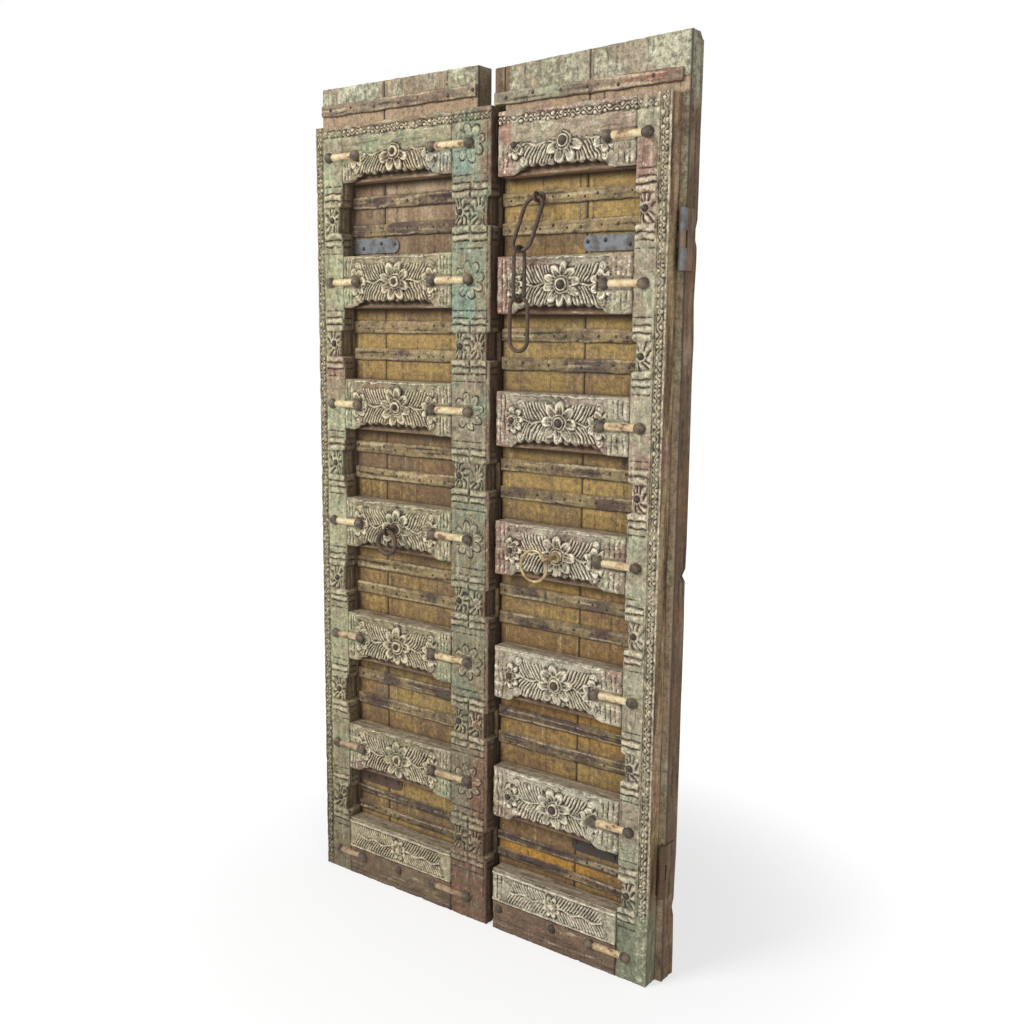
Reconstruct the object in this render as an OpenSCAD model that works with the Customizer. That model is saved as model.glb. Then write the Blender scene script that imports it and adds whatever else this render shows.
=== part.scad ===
// Pair of carved plank door leaves on strap hinges, in millimetres.
// X runs along the width, the carved face looks towards -Y, Z is up from the floor.
// The origin lies on the floor, at the middle of the width and of the planks' thickness.

/* [Leaves] */
// Width of the left leaf's carved frame
left_w = 568; // [500:1:680]
// Width of the right leaf's carved frame
right_w = 444; // [400:1:560]
// Height of the left leaf's carved frame
left_h = 2000; // [1800:1:2300]
// Top of the right leaf's carved frame below the left one's
right_drop = 18; // [0:1:40]
// Gap between the meeting stile and the ends of the right leaf's rails
meet_gap = 21; // [12:0.5:40]
// Gap between the planks of the two leaves
swing_gap = 6; // [5:0.5:10]
// Planks left bare beside the frame on the hinge side
edge_margin = 18; // [16:0.5:30]
// Thickness of the carved frame
frame_t = 44; // [38:1:60]
// Thickness of the planks
plank_t = 52; // [36:1:60]

/* [Planks] */
// Planks above the left frame
left_top_end = 104; // [80:1:160]
// Planks above the right frame, at the meeting edge
right_top_end = 109; // [80:1:160]
// Rise of the right planks' top towards the hinge
right_top_rise = 18; // [0:1:40]
// Cut-back of the left planks' top end from the meeting edge
left_top_cut = 73; // [40:1:100]
// Reach of the right planks' top end beyond their meeting edge
right_top_reach = 29; // [0:1:32]
// Width of the left leaf's plank on the hinge side
left_outer_plank_w = 216; // [150:1:300]
// Width of the right leaf's plank on the hinge side
right_outer_plank_w = 246; // [150:1:300]
// Open seam between two planks
plank_seam = 1; // [0.4:0.1:3]
// Radius of the worn top corner at the right leaf's hinge edge
worn_corner_r = 12; // [4:1:20]
// Depth of the notch broken out of the right leaf's back edge
notch_depth = 7; // [3:0.5:12]
// Length of the notch along the edge
notch_l = 28; // [12:1:50]
// Height of the notch as a share of the right frame's height
notch_share = 0.484; // [0.3:0.001:0.7]

/* [Battens] */
// Height of a panel batten as a share of a panel's height
batten_share = 0.171; // [0.12:0.001:0.18]
// Thickness of a panel batten
batten_t = 5; // [3:0.5:8]
// Height of a head batten
head_batten_h = 29; // [20:1:40]
// Thickness of a head batten
head_batten_t = 7; // [4:0.5:12]
// Left head batten above the frame
left_head_up = 33; // [5:1:45]
// Right head batten above the frame
right_head_up = 24; // [5:1:45]
// Head batten's setback from the planks' ends
head_batten_inset = 3; // [1:1:20]
// Right head batten's setback from the hinge edge
right_batten_end = 16; // [5:1:40]

/* [Frame] */
// Width of the left leaf's hinge stile
left_stile_w = 92; // [86:1:110]
// Width of the meeting stile
meeting_stile_w = 116; // [110:1:140]
// Width of the right leaf's hinge stile
right_stile_w = 81; // [76:1:100]
// Height of a middle rail
rail_h = 130; // [116:1:150]
// Height of the foot rail
foot_rail_h = 160; // [150:1:180]
// Top rail's rosette line below the top of the frame
top_rail_drop = 77; // [74:1:100]
// Foot rail's rod line above the floor
foot_rail_up = 57; // [50:1:62]
// Thickness of a rail's carved front
slab_t = 18; // [12:1:20]
// Thickness of a tenon
tenon_t = 14; // [8:1:16]
// Length of a tenon
tenon_l = 40; // [20:1:50]
// Height of a tenon
tenon_h = 70; // [40:1:90]
// Clearance where one piece is let into another
fit = 0.3; // [0.2:0.1:0.5]

/* [Carving] */
// Height of the raised carving
relief = 5; // [3:0.5:7]
// Extra height of a rosette's inner flower
inner_relief = 3; // [2:0.5:5]
// Radius of a rail's rosette
rosette_r = 50; // [40:1:54]
// Radius of the flower at a free rail end
end_flower_r = 31; // [24:1:36]
// Radius of a rosette on the meeting stile
stile_flower_r = 45; // [36:1:48]
// Petals of a flower
petals = 8; // [6:1:12]
// Pitch of the feathered leaf's ribs
rib_pitch = 11; // [8:0.5:16]
// Width of a rib
rib_w = 6; // [4:0.5:7]
// Lean of a rib over its length
rib_lean = 24; // [10:1:30]
// Width of a reed on a fluted block
reed_w = 7; // [5:0.5:9]
// Depth of the lobed edge under a rail
lobe_rise = 20; // [12:1:24]
// Width of the bracket that carries the lobed edge
bracket_w = 42; // [30:1:50]
// Sag of one lobe
lobe_sag = 5; // [3:0.5:7]
// Width of the running border
border_w = 9; // [6:0.5:10]
// Half step of the running border's zigzag
border_step = 12; // [10:1:20]
// Height of a band across a pilaster
band_h = 7; // [5:0.5:9]

/* [Rods and nails] */
// Radius of a half-round rod
rod_r = 8.5; // [6:0.5:10]
// Radius of the dome at a rod's end
dome_r = 13; // [11:0.5:14]
// Height of that dome
dome_h = 14; // [11:0.5:16]
// Rod over the left hinge stile: reach onto the rail
left_rod_in = 49; // [40:1:56]
// Rod over the left hinge stile: reach onto the stile
left_rod_out = 43; // [30:1:50]
// Rod over the meeting stile: reach onto the rail
meeting_rod_in = 60; // [44:1:66]
// Rod over the meeting stile: reach onto the stile
meeting_rod_out = 54; // [40:1:60]
// Rod over the right hinge stile: reach onto the rail
right_rod_in = 72; // [50:1:76]
// Rod over the right hinge stile: reach onto the stile
right_rod_out = 28; // [20:1:34]
// Radius of a boss nail
nail_r = 8; // [6:0.5:10]
// Height of a boss nail
nail_h = 7; // [4:0.5:9]

/* [Hinges] */
// Height of a strap as a share of a panel's height
strap_share = 0.199; // [0.16:0.001:0.21]
// Thickness of a strap
strap_t = 3; // [2:0.5:4]
// Strap's reach past the stile
strap_reach = 155; // [100:1:200]
// Gap between a strap and the next rail as a share of a panel's height
strap_gap_share = 0.044; // [0.02:0.001:0.05]
// Outside radius of a hinge knuckle
knuckle_r = 7.5; // [6:0.5:8]
// Radius of the hinge pin
pin_r = 4; // [3:0.5:5]
// Radial clearance of the pin in the strap's eye
pin_clearance = 0.05; // [0.02:0.01:0.1]
// Height of a jamb knuckle
knuckle_h = 46; // [30:1:60]
// Thickness of a jamb plate
jamb_plate_t = 3; // [2:0.5:4]
// Running clearance between a leaf and the jamb halves
jamb_clearance = 0.5; // [0.4:0.1:1]

/* [Rings and chain] */
// Wire radius of the left ring
left_ring_wire = 6; // [4:0.5:7]
// Radius of the left ring at the middle of its wire
left_ring_r = 29; // [24:1:36]
// Left ring's distance in front of the frame
left_ring_out = 38; // [36:1:60]
// Wire radius of the right ring
right_ring_wire = 3.8; // [3:0.2:5]
// Radius of the right ring at the middle of its wire
right_ring_r = 36; // [28:1:42]
// Right ring's distance in front of the frame
right_ring_out = 50; // [36:1:64]
// Turn of the right ring's eye about its bolt
right_ring_turn = 60; // [0:1:80]
// Wire radius of a chain link
link_wire = 4.5; // [3:0.5:5]
// Length of a chain link between its wires' middles
link_l = 120; // [100:1:130]
// Width of the outer links between their wires' middles
link_w = 49; // [40:1:56]
// Width of the middle link between its wires' middles
mid_link_w = 40; // [34:1:44]
// Length of the first link between its wires' middles
first_link_l = 138; // [130:1:150]
// Lean of the first link from the vertical
first_link_lean = 27; // [26:1:32]
// Chain's distance from the free rail ends
chain_x = 93; // [88:1:100]
// Radius of an eye's wire
eye_wire = 3; // [2.5:0.5:4]
// Play of a ring or link in its eye
eye_play = 1.5; // [1:0.1:2]

/* [Hidden] */
$fn = 48;
rail_gaps = 6;
sides = ["left", "right"];

// Widths across both leaves
overall_w = left_w + meet_gap + right_w + 2 * edge_margin;
left_edge = -overall_w / 2;
left_x = left_edge + edge_margin;
meeting_x = left_x + left_w;
right_x = meeting_x + meet_gap;
right_end = right_x + right_w;
right_edge = right_end + edge_margin;
left_seam_x = left_edge + left_outer_plank_w;
right_seam_x = right_edge - right_outer_plank_w;
right_plank_x = meeting_x + swing_gap;

// Depths from the front of the frame to the back of the planks
plank_y = -plank_t / 2;
face_y = plank_y - frame_t;
slab_y = face_y + slab_t;
flower_y = face_y - relief;
bloom_y = flower_y - inner_relief;
tenon_y = (slab_y + plank_y - tenon_t) / 2;
carve_root = 1;

// Inner edges of the stiles and lengths of the rails
left_stile_in = left_x + left_stile_w;
meeting_stile_in = meeting_x - meeting_stile_w;
right_stile_in = right_end - right_stile_w;
left_rail_x = left_stile_in + fit;
left_rail_l = meeting_stile_in - fit - left_rail_x;
right_rail_l = right_stile_in - fit - right_x;

// Heights
right_h = left_h - right_drop;
function leaf_h(s) = s == "left" ? left_h : right_h;
function rail_z(h, k) = h - top_rail_drop - (h - top_rail_drop - foot_rail_up) * k / rail_gaps;
function rail_top(h, k) = k == 0 ? h : k == rail_gaps ? foot_rail_h : rail_z(h, k) + rail_h / 2;
function rail_low(h, k) = k == rail_gaps ? 0 : rail_z(h, k) - rail_h / 2;
function tenon_z(h, k) = k == rail_gaps ? foot_rail_h / 2 : rail_z(h, k);
function panel_z(h, p) = (rail_z(h, p - 1) + rail_z(h, p)) / 2;
function panel_h(h) = rail_low(h, 0) - rail_top(h, 1);
function batten_h(h) = batten_share * panel_h(h);
function strap_h(h) = strap_share * panel_h(h);
function strap_off(h) = strap_gap_share * panel_h(h) + strap_h(h) / 2;
function upper_strap_z(h) = rail_top(h, 1) + strap_off(h);
function lower_strap_z(h) = rail_low(h, rail_gaps - 1) - strap_off(h);
function strap_z(s, u) = u == "upper" ? upper_strap_z(leaf_h(s)) : lower_strap_z(leaf_h(s));

// Panel battens as shares of the panel's height, lower in the foot panel to pass under the strap
batten_rows = [0.36, 0.74];
foot_batten_rows = [0.2, 0.53];
batten_end_gap = 0.6;
function batten_z(h, p, row) =
  rail_top(h, p) + (rail_low(h, p - 1) - rail_top(h, p)) * (p == rail_gaps ? foot_batten_rows : batten_rows)[row];

// Hinge axes, a little inside the planks' outer edges
axis_in = knuckle_r - jamb_plate_t - jamb_clearance;
axis_y = plank_y - knuckle_r - jamb_clearance;
left_axis_x = left_edge + axis_in;
right_axis_x = right_edge - axis_in;
jamb_plate_end = plank_t - knuckle_r;

// Fields of the carving
feather_gap = 3;
left_field_in = left_rod_in + dome_r + feather_gap;
meeting_field_in = meeting_rod_in + dome_r + feather_gap;
right_field_in = right_rod_in + dome_r + feather_gap;
left_block_w = left_rod_in - dome_r - feather_gap;
meeting_block_w = meeting_rod_in - dome_r - feather_gap;
right_block_w = right_rod_in - dome_r - feather_gap;
end_block_w = 40;
end_flower_x = end_block_w + end_flower_r / 3;
end_field_in = end_flower_x + end_flower_r + feather_gap;
rod_clear = dome_r + 2;
reed_end = 4;
edge_fillet = 6;
foot_carving_z = foot_rail_h - 45;
foot_carving_h = 32;
foot_flower_r = 26;
top_border_drop = 20;
border_in = 13;
border_rise = 4;
pilaster_pad = 20;
band_drops = [30, 44, 58];

// Rings, eyes and links
staple_out = 18;
eye_plate_r = 13;
eye_plate_t = 4;
shank_r = 5;
slack = 0.5;
function eye_r(wire) = wire + eye_play + eye_wire;
chain_px = right_x + chain_x;
staple_z = batten_z(right_h, 1, 1);
staple_y = plank_y - batten_t - staple_out;
first_top = [chain_px, staple_y, staple_z - eye_play + slack];
first_low = first_top - first_link_l * [0, sin(first_link_lean), cos(first_link_lean)];
mid_top_z = first_low[2] + 2 * link_wire + slack;
mid_low_z = mid_top_z - link_l;
last_top_z = mid_low_z + 2 * link_wire + slack;

// A flat outline in X and Z, raised towards the front from the plane at y and rooted behind it
module raised(y, rise) {
  translate([0, y + carve_root, 0])
    rotate([90, 0, 0])
      linear_extrude(rise + carve_root)
        children();
}

// A flat outline in X and Z as a board of thickness t behind the plane at y
module board(y, t) {
  translate([0, y + t, 0])
    rotate([90, 0, 0])
      linear_extrude(t)
        children();
}

// Outline of a flower, its petals parted by deep notches
function flower(r, n, part = 0.5, steps = 6) = [
  for (i = [0 : n * steps - 1])
    let (a = 360 * i / (n * steps), swell = pow(abs(sin(a * n / 2)), 0.6))
      r * (1 - part + part * swell) * [cos(a), sin(a)]];

// Points of a row of lobes that hang below the line from p to q
function lobes(p, q, n, sag) = [
  for (i = [0 : 4 * n])
    let (t = i / (4 * n))
      p + (q - p) * t - [0, sag * abs(sin(180 * i / 4))]];

// Zigzag ribbon along the second axis
module ribbon(len, w, step) {
  n = floor(len / step);
  swing = w / 3;
  polygon(concat(
    [for (i = [0 : n]) [-w / 4 + swing * (i % 2 - 0.5), i * len / n]],
    [for (i = [n : -1 : 0]) [w / 4 + swing * (i % 2 - 0.5), i * len / n]]));
}

// Two-layer rosette with its centre at x and z, its outer petals only below the middle where half is set
module rosette(x, z, r, half = false) {
  raised(face_y, relief)
    translate([x, z])
      intersection() {
        polygon(flower(r, petals));
        translate([-r, -r])
          square([2 * r, half ? r : 2 * r]);
      }
  raised(flower_y, inner_relief)
    translate([x, z])
      rotate(180 / petals)
        polygon(flower(r * 0.55, petals, 0.4));
}

// Feathered leaf between x0 and x1: a midrib with ribs that lean towards the end named by dir
module feather(x0, x1, z, h, dir, half = false) {
  n = max(1, floor((x1 - x0 - rib_lean) / rib_pitch));
  raised(face_y, relief)
    translate([x0, z - rib_w / 2])
      square([x1 - x0, rib_w]);
  for (i = [0 : n - 1], side = half ? [-1] : [-1, 1]) {
    foot_x = dir > 0 ? x0 + i * rib_pitch : x1 - i * rib_pitch - rib_w;
    raised(face_y, relief - 1)
      polygon([
        [foot_x, z],
        [foot_x + rib_w, z],
        [foot_x + rib_w + dir * rib_lean, z + side * h],
        [foot_x + dir * rib_lean, z + side * h]]);
  }
}

// Reeds of a fluted block between x0 and x1, broken where a rod crosses at gap_z
module reeds(x0, x1, z0, z1, gap_z, gap) {
  n = floor((x1 - x0) / (1.7 * reed_w));
  pitch = (x1 - x0) / n;
  for (i = [0 : n - 1])
    raised(face_y, relief - 1)
      translate([x0 + (i + 0.5) * pitch - reed_w / 2, 0])
        if (gap > 0) {
          translate([0, z0])
            square([reed_w, gap_z - gap - z0]);
          translate([0, gap_z + gap])
            square([reed_w, z1 - gap_z - gap]);
        } else {
          translate([0, z0])
            square([reed_w, z1 - z0]);
        }
}

// Reeds of a rail's block under a rod at z, only below the rod where half is set
module block_reeds(x0, x1, z, half) {
  z0 = z - rail_h / 2 + reed_end;
  if (half)
    reeds(x0, x1, z0, z - rod_clear, 0, 0);
  else
    reeds(x0, x1, z0, z + rail_h / 2 - reed_end, z, rod_clear);
}

// Tenon at x, reaching dir
module tenon(x, z, dir) {
  translate([dir > 0 ? x - carve_root : x - tenon_l, tenon_y, z - tenon_h / 2])
    cube([tenon_l + carve_root, tenon_t, tenon_h]);
}

// Mortises of all the rails in a stile whose inner edge is at x and whose body lies in dir
module mortises(h, x, dir) {
  for (k = [0 : rail_gaps])
    translate([dir > 0 ? x - 1 : x - tenon_l - fit, tenon_y - fit, tenon_z(h, k) - tenon_h / 2 - fit])
      cube([tenon_l + fit + 1, tenon_t + 2 * fit, tenon_h + 2 * fit]);
}

// Body of a rail from x0 over len: lobed front between blocks bl and br, plain back with a bead below
module rail_body(h, k, x0, len, bl, br) {
  low = rail_low(h, k);
  high = rail_top(h, k);
  lobe_z = low + lobe_rise;
  inner_l = x0 + bl + bracket_w;
  inner_r = x0 + len - br - bracket_w;
  n = floor((inner_r - inner_l) / (2.2 * rib_pitch));
  board(face_y, slab_t)
    polygon(concat(
      [[x0, high], [x0, low], [x0 + bl, low]],
      lobes([x0 + bl, low], [inner_l, lobe_z], 2, lobe_sag / 2),
      lobes([inner_l, lobe_z], [inner_r, lobe_z], n, lobe_sag),
      lobes([inner_r, lobe_z], [x0 + len - br, low], 2, lobe_sag / 2),
      [[x0 + len, low], [x0 + len, high]]));
  translate([x0, slab_y - carve_root, low])
    cube([len, frame_t - slab_t + carve_root, high - low]);
  translate([x0 + bl / 2, slab_y - relief, low])
    cube([len - bl / 2 - br / 2, relief + 1, edge_fillet]);
}

// Body of a foot rail: plain to the floor, with a fillet under its carved band
module foot_body(x0, len) {
  board(face_y, frame_t)
    translate([x0, 0])
      square([len, foot_rail_h]);
  for (z = [foot_carving_z - foot_carving_h - edge_fillet, foot_rail_h - edge_fillet])
    raised(face_y, relief - 1)
      translate([x0, z])
        square([len, edge_fillet / 2]);
}

// Running border and plain fillet along the top of the frame
module top_border(h, x0, len) {
  raised(face_y, border_rise)
    translate([x0, h - top_border_drop])
      rotate(-90)
        ribbon(len, border_w, border_step);
  raised(face_y, border_rise - 1)
    translate([x0, h - 1.5 * top_border_drop])
      square([len, edge_fillet / 2]);
}

module left_rail(k) {
  z = rail_z(left_h, k);
  x1 = left_rail_x + left_rail_l;
  mid = (left_rail_x + x1) / 2;
  color("#8d8a70") {
    if (k == rail_gaps) {
      foot_body(left_rail_x, left_rail_l);
      rosette(mid, foot_carving_z, foot_flower_r);
      feather(left_rail_x + rib_lean + edge_fillet, mid - foot_flower_r, foot_carving_z, foot_carving_h - 4, -1);
      feather(mid + foot_flower_r, x1 - rib_lean - edge_fillet, foot_carving_z, foot_carving_h - 4, 1);
    } else {
      rail_body(left_h, k, left_rail_x, left_rail_l, left_block_w, meeting_block_w);
      rosette(mid, z, rosette_r, k == 0);
      feather(left_rail_x + left_field_in, mid - 0.7 * rosette_r, z, rail_h * 0.28, -1, k == 0);
      feather(mid + 0.7 * rosette_r, x1 - meeting_field_in, z, rail_h * 0.28, 1, k == 0);
      block_reeds(left_rail_x, left_rail_x + left_block_w, z, k == 0);
      block_reeds(x1 - meeting_block_w, x1, z, k == 0);
      if (k == 0)
        top_border(left_h, left_rail_x, left_rail_l);
    }
    tenon(left_rail_x, tenon_z(left_h, k), -1);
    tenon(x1, tenon_z(left_h, k), 1);
  }
}

module right_rail(k) {
  z = rail_z(right_h, k);
  x1 = right_x + right_rail_l;
  mid = (right_x + x1) / 2;
  color("#8a7f68") {
    if (k == rail_gaps) {
      foot_body(right_x, right_rail_l);
      rosette(mid, foot_carving_z, foot_flower_r);
      feather(right_x + end_block_w + rib_lean, mid - foot_flower_r, foot_carving_z, foot_carving_h - 4, -1);
      feather(mid + foot_flower_r, x1 - rib_lean - edge_fillet, foot_carving_z, foot_carving_h - 4, 1);
      reeds(right_x, right_x + end_block_w, foot_carving_z - foot_carving_h, foot_rail_h - edge_fillet, 0, 0);
    } else {
      rail_body(right_h, k, right_x, right_rail_l, end_block_w, right_block_w);
      rosette(mid, z, rosette_r, k == 0);
      rosette(right_x + end_flower_x, z, end_flower_r, k == 0);
      feather(right_x + end_field_in, mid - 0.7 * rosette_r, z, rail_h * 0.28, -1, k == 0);
      feather(mid + 0.7 * rosette_r, x1 - right_field_in, z, rail_h * 0.28, 1, k == 0);
      if (k == 0)
        block_reeds(right_x, right_x + end_block_w, z, true);
      else
        reeds(right_x, right_x + end_block_w, z - rail_h / 2 + reed_end, z + rail_h / 2 - reed_end, 0, 0);
      block_reeds(x1 - right_block_w, x1, z, k == 0);
      if (k == 0)
        top_border(right_h, right_x, right_rail_l);
    }
    tenon(x1, tenon_z(right_h, k), 1);
  }
}

// Banded pilaster between x0 and x1 beside every panel, with a pad for the boss nail
module pilasters(h, x0, x1) {
  for (p = [1 : rail_gaps]) {
    z = panel_z(h, p);
    raised(face_y, relief - 1)
      translate([x0 + 4, z - pilaster_pad])
        square([x1 - x0 - 8, 2 * pilaster_pad]);
    for (drop = band_drops, side = [-1, 1])
      raised(face_y, relief)
        translate([x0, z + side * drop - band_h / 2])
          square([x1 - x0, band_h]);
  }
}

// Running border up a hinge stile's outer side, with a fillet inside it
module stile_border(h, x, dir) {
  raised(face_y, border_rise)
    translate([x + dir * border_in, edge_fillet])
      ribbon(h - 2 * edge_fillet, border_w, border_step);
  raised(face_y, border_rise - 1)
    translate([x + dir * 2 * border_in - edge_fillet / 4, 0])
      square([edge_fillet / 2, h]);
}

// Notches in the back of a hinge stile that the straps pass through
module strap_notches(s, x, w) {
  h = strap_h(leaf_h(s)) + 2 * fit;
  for (u = ["upper", "lower"])
    translate([x - 1, plank_y - strap_t - fit, strap_z(s, u) - h / 2])
      cube([w + 2, strap_t + fit + 1, h]);
}

module left_hinge_stile() {
  color("#8f9a76")
    difference() {
      union() {
        translate([left_x, face_y, 0])
          cube([left_stile_w, frame_t, left_h]);
        stile_border(left_h, left_x, 1);
        top_border(left_h, left_x + 2 * border_in, left_stile_w - 2 * border_in);
        pilasters(left_h, left_x + 2 * border_in + 5, left_stile_in - 3);
      }
      mortises(left_h, left_stile_in, -1);
      strap_notches("left", left_x, left_stile_w);
    }
}

module left_meeting_stile() {
  mid = (meeting_stile_in + meeting_x) / 2;
  color("#7f9078")
    difference() {
      union() {
        translate([meeting_stile_in, face_y, 0])
          cube([meeting_stile_w, frame_t, left_h]);
        top_border(left_h, meeting_stile_in, meeting_stile_w);
        pilasters(left_h, meeting_stile_in + 3, mid - 3);
        pilasters(left_h, mid + 3, meeting_x - 8);
        for (k = [0 : rail_gaps - 1])
          raised(face_y, relief - 1)
            translate([meeting_stile_in + meeting_rod_out, rail_z(left_h, k)])
              difference() {
                polygon(flower(stile_flower_r, petals));
                translate([-meeting_rod_out, -rod_clear])
                  square([meeting_rod_out + rod_clear, 2 * rod_clear]);
              }
      }
      mortises(left_h, meeting_stile_in, 1);
    }
}

module right_hinge_stile() {
  color("#9aa180")
    difference() {
      union() {
        translate([right_stile_in, face_y, 0])
          cube([right_stile_w, frame_t, right_h]);
        stile_border(right_h, right_end, -1);
        top_border(right_h, right_stile_in, right_stile_w - 2 * border_in);
        pilasters(right_h, right_stile_in + 3, right_end - 2 * border_in - 5);
      }
      mortises(right_h, right_stile_in, 1);
      strap_notches("right", right_stile_in, right_stile_w);
    }
}

// One plank as an outline in X and Z
module plank(points) {
  color("#9a7f48")
    board(plank_y, plank_t)
      polygon(points);
}

module left_outer_plank() {
  top = left_h + left_top_end;
  x1 = left_seam_x - plank_seam / 2;
  plank([[left_edge, 0], [x1, 0], [x1, top], [left_edge, top]]);
}

module left_inner_plank() {
  top = left_h + left_top_end;
  x0 = left_seam_x + plank_seam / 2;
  x1 = meeting_x - left_top_cut;
  plank([[x0, 0], [x1, 0], [x1, top], [x0, top]]);
}

// Narrow plank behind the meeting stile, as high as the frame
module left_meeting_plank() {
  x0 = meeting_x - left_top_cut + plank_seam;
  plank([[x0, 0], [meeting_x, 0], [meeting_x, left_h], [x0, left_h]]);
}

function right_top_z(x) =
  right_h + right_top_end + right_top_rise * (x - right_plank_x) / (right_edge - right_plank_x);

// Short end piece beside the right planks' top, above the left leaf's frame
module right_top_block() {
  shoulder = left_h + swing_gap;
  x0 = right_plank_x - right_top_reach;
  x1 = right_plank_x - plank_seam;
  plank([[x0, shoulder], [x1, shoulder], [x1, right_top_z(x1)], [x0, right_top_z(x0)]]);
}

module right_inner_plank() {
  x1 = right_seam_x - plank_seam / 2;
  plank([[right_plank_x, 0], [x1, 0], [x1, right_top_z(x1)], [right_plank_x, right_top_z(right_plank_x)]]);
}

// Quarter circle from the outer edge to the top
function worn_corner(x, z, r, steps = 6) = [
  for (i = [0 : steps])
    let (a = 90 * i / steps)
      [x - r + r * cos(a), z - r + r * sin(a)]
];

// Wedge broken out of the edge, through the back half of the plank
module edge_notch(x, z) {
  board(0, plank_t)
    polygon([[x - notch_depth, z], [x + notch_depth, z - notch_l], [x + notch_depth, z + notch_l]]);
}

module right_outer_plank() {
  x0 = right_seam_x + plank_seam / 2;
  corner = worn_corner(right_edge, right_top_z(right_edge), worn_corner_r);
  difference() {
    plank(concat([[x0, 0], [right_edge, 0]], corner, [[x0, right_top_z(x0)]]));
    edge_notch(right_edge, notch_share * right_h);
  }
}

// Flat strip nailed on the planks
module strip(x0, x1, z, h, t) {
  translate([x0, plank_y - t, z - h / 2])
    cube([x1 - x0, t, h]);
}

module head_batten(s) {
  z = leaf_h(s) + (s == "left" ? left_head_up : right_head_up) + head_batten_h / 2;
  x0 = s == "left" ? left_edge : right_plank_x - right_top_reach;
  x1 = s == "left" ? meeting_x - left_top_cut - head_batten_inset : right_edge - right_batten_end;
  color("#6b4a3a")
    strip(x0 + head_batten_inset, x1, z, head_batten_h, head_batten_t);
}

module panel_battens(s, p) {
  x0 = s == "left" ? left_stile_in : right_plank_x;
  x1 = s == "left" ? meeting_stile_in : right_stile_in;
  color("#5d4636")
    for (row = [0, 1])
      strip(x0 + batten_end_gap, x1 - batten_end_gap, batten_z(leaf_h(s), p, row), batten_h(leaf_h(s)), batten_t);
}

function axis_x(s) = s == "left" ? left_axis_x : right_axis_x;

// Strap with a round end and a rolled eye at the hinge's axis
module leaf_strap(s, u) {
  h = strap_h(leaf_h(s));
  dir = s == "left" ? 1 : -1;
  tip_x = s == "left" ? left_stile_in + strap_reach : right_stile_in - strap_reach;
  straight = abs(tip_x - axis_x(s)) - h / 2;
  color("#4a4c50")
    translate([axis_x(s), 0, strap_z(s, u)])
      difference() {
        union() {
          board(plank_y - strap_t, strap_t) {
            translate([dir > 0 ? 0 : -straight, -h / 2])
              square([straight, h]);
            translate([dir * straight, 0])
              circle(h / 2);
          }
          translate([0, axis_y, -h / 2])
            cylinder(r = knuckle_r, h = h);
        }
        translate([0, axis_y, -h / 2 - 1])
          cylinder(r = pin_r + pin_clearance, h = h + 2);
      }
}

// Jamb half of a hinge: two knuckles on a pin and a plate beside the planks' edge
module jamb_hinge(s, u) {
  dir = s == "left" ? -1 : 1;
  reach = strap_h(leaf_h(s)) / 2 + jamb_clearance;
  top = reach + knuckle_h;
  color("#77787a")
    translate([axis_x(s), axis_y, strap_z(s, u)]) {
      for (side = [-1, 1])
        translate([0, 0, side > 0 ? reach : -top])
          cylinder(r = knuckle_r, h = knuckle_h);
      translate([0, 0, -top])
        cylinder(r = pin_r, h = 2 * top);
      translate([dir > 0 ? knuckle_r - jamb_plate_t : -knuckle_r, 0, 0])
        rotate([90, 0, 90])
          linear_extrude(jamb_plate_t)
            polygon([
              [0, -top], [jamb_plate_end, -top], [jamb_plate_end, top], [0, top],
              [0, reach], [knuckle_r + 2, reach], [knuckle_r + 2, -reach], [0, -reach]]);
    }
}

// Spherical cap with its flat side at the plane y, facing the front
module cap(x, y, z, r, h) {
  ball = (r * r + h * h) / (2 * h);
  translate([x, y, z])
    rotate([90, 0, 0])
      rotate_extrude()
        intersection() {
          translate([0, h - ball])
            circle(ball);
          square([r, h]);
        }
}

// Half-round rod on the frame's face with a dome at each end
module rod(x0, x1, z) {
  translate([x0, face_y, z])
    rotate([0, 90, 0])
      linear_extrude(x1 - x0)
        intersection() {
          circle(rod_r);
          translate([-rod_r, -rod_r])
            square([2 * rod_r, rod_r]);
        }
  cap(x0, face_y, z, dome_r, dome_h);
  cap(x1, face_y, z, dome_r, dome_h);
}

module left_rods() {
  color("#c9b184")
    for (k = [0 : rail_gaps]) {
      rod(left_stile_in - left_rod_out, left_stile_in + left_rod_in, rail_z(left_h, k));
      rod(meeting_stile_in - meeting_rod_in, meeting_stile_in + meeting_rod_out, rail_z(left_h, k));
    }
}

module right_rods() {
  color("#c9b184")
    for (k = [0 : rail_gaps])
      rod(right_stile_in - right_rod_in, right_stile_in + right_rod_out, rail_z(right_h, k));
}

// Rail number whose rosette carries the pull ring
ring_rail = 3;
function boss_rails() = [for (k = [0 : rail_gaps - 1]) if (k != ring_rail) k];

module left_boss_nails() {
  mid = (left_stile_in + meeting_stile_in) / 2;
  pad_x = (left_x + 2 * border_in + 5 + left_stile_in - 3) / 2;
  meeting_mid = (meeting_stile_in + meeting_x) / 2;
  pad_y = face_y - relief + 1;
  color("#3b342e") {
    for (p = [1 : rail_gaps]) {
      cap(pad_x, pad_y, panel_z(left_h, p), nail_r, nail_h);
      cap((meeting_stile_in + meeting_mid) / 2, pad_y, panel_z(left_h, p), nail_r, nail_h);
    }
    for (k = boss_rails())
      cap(mid, bloom_y, rail_z(left_h, k), nail_r, nail_h);
    cap(mid, face_y, foot_rail_up, nail_r, nail_h);
  }
}

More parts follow.
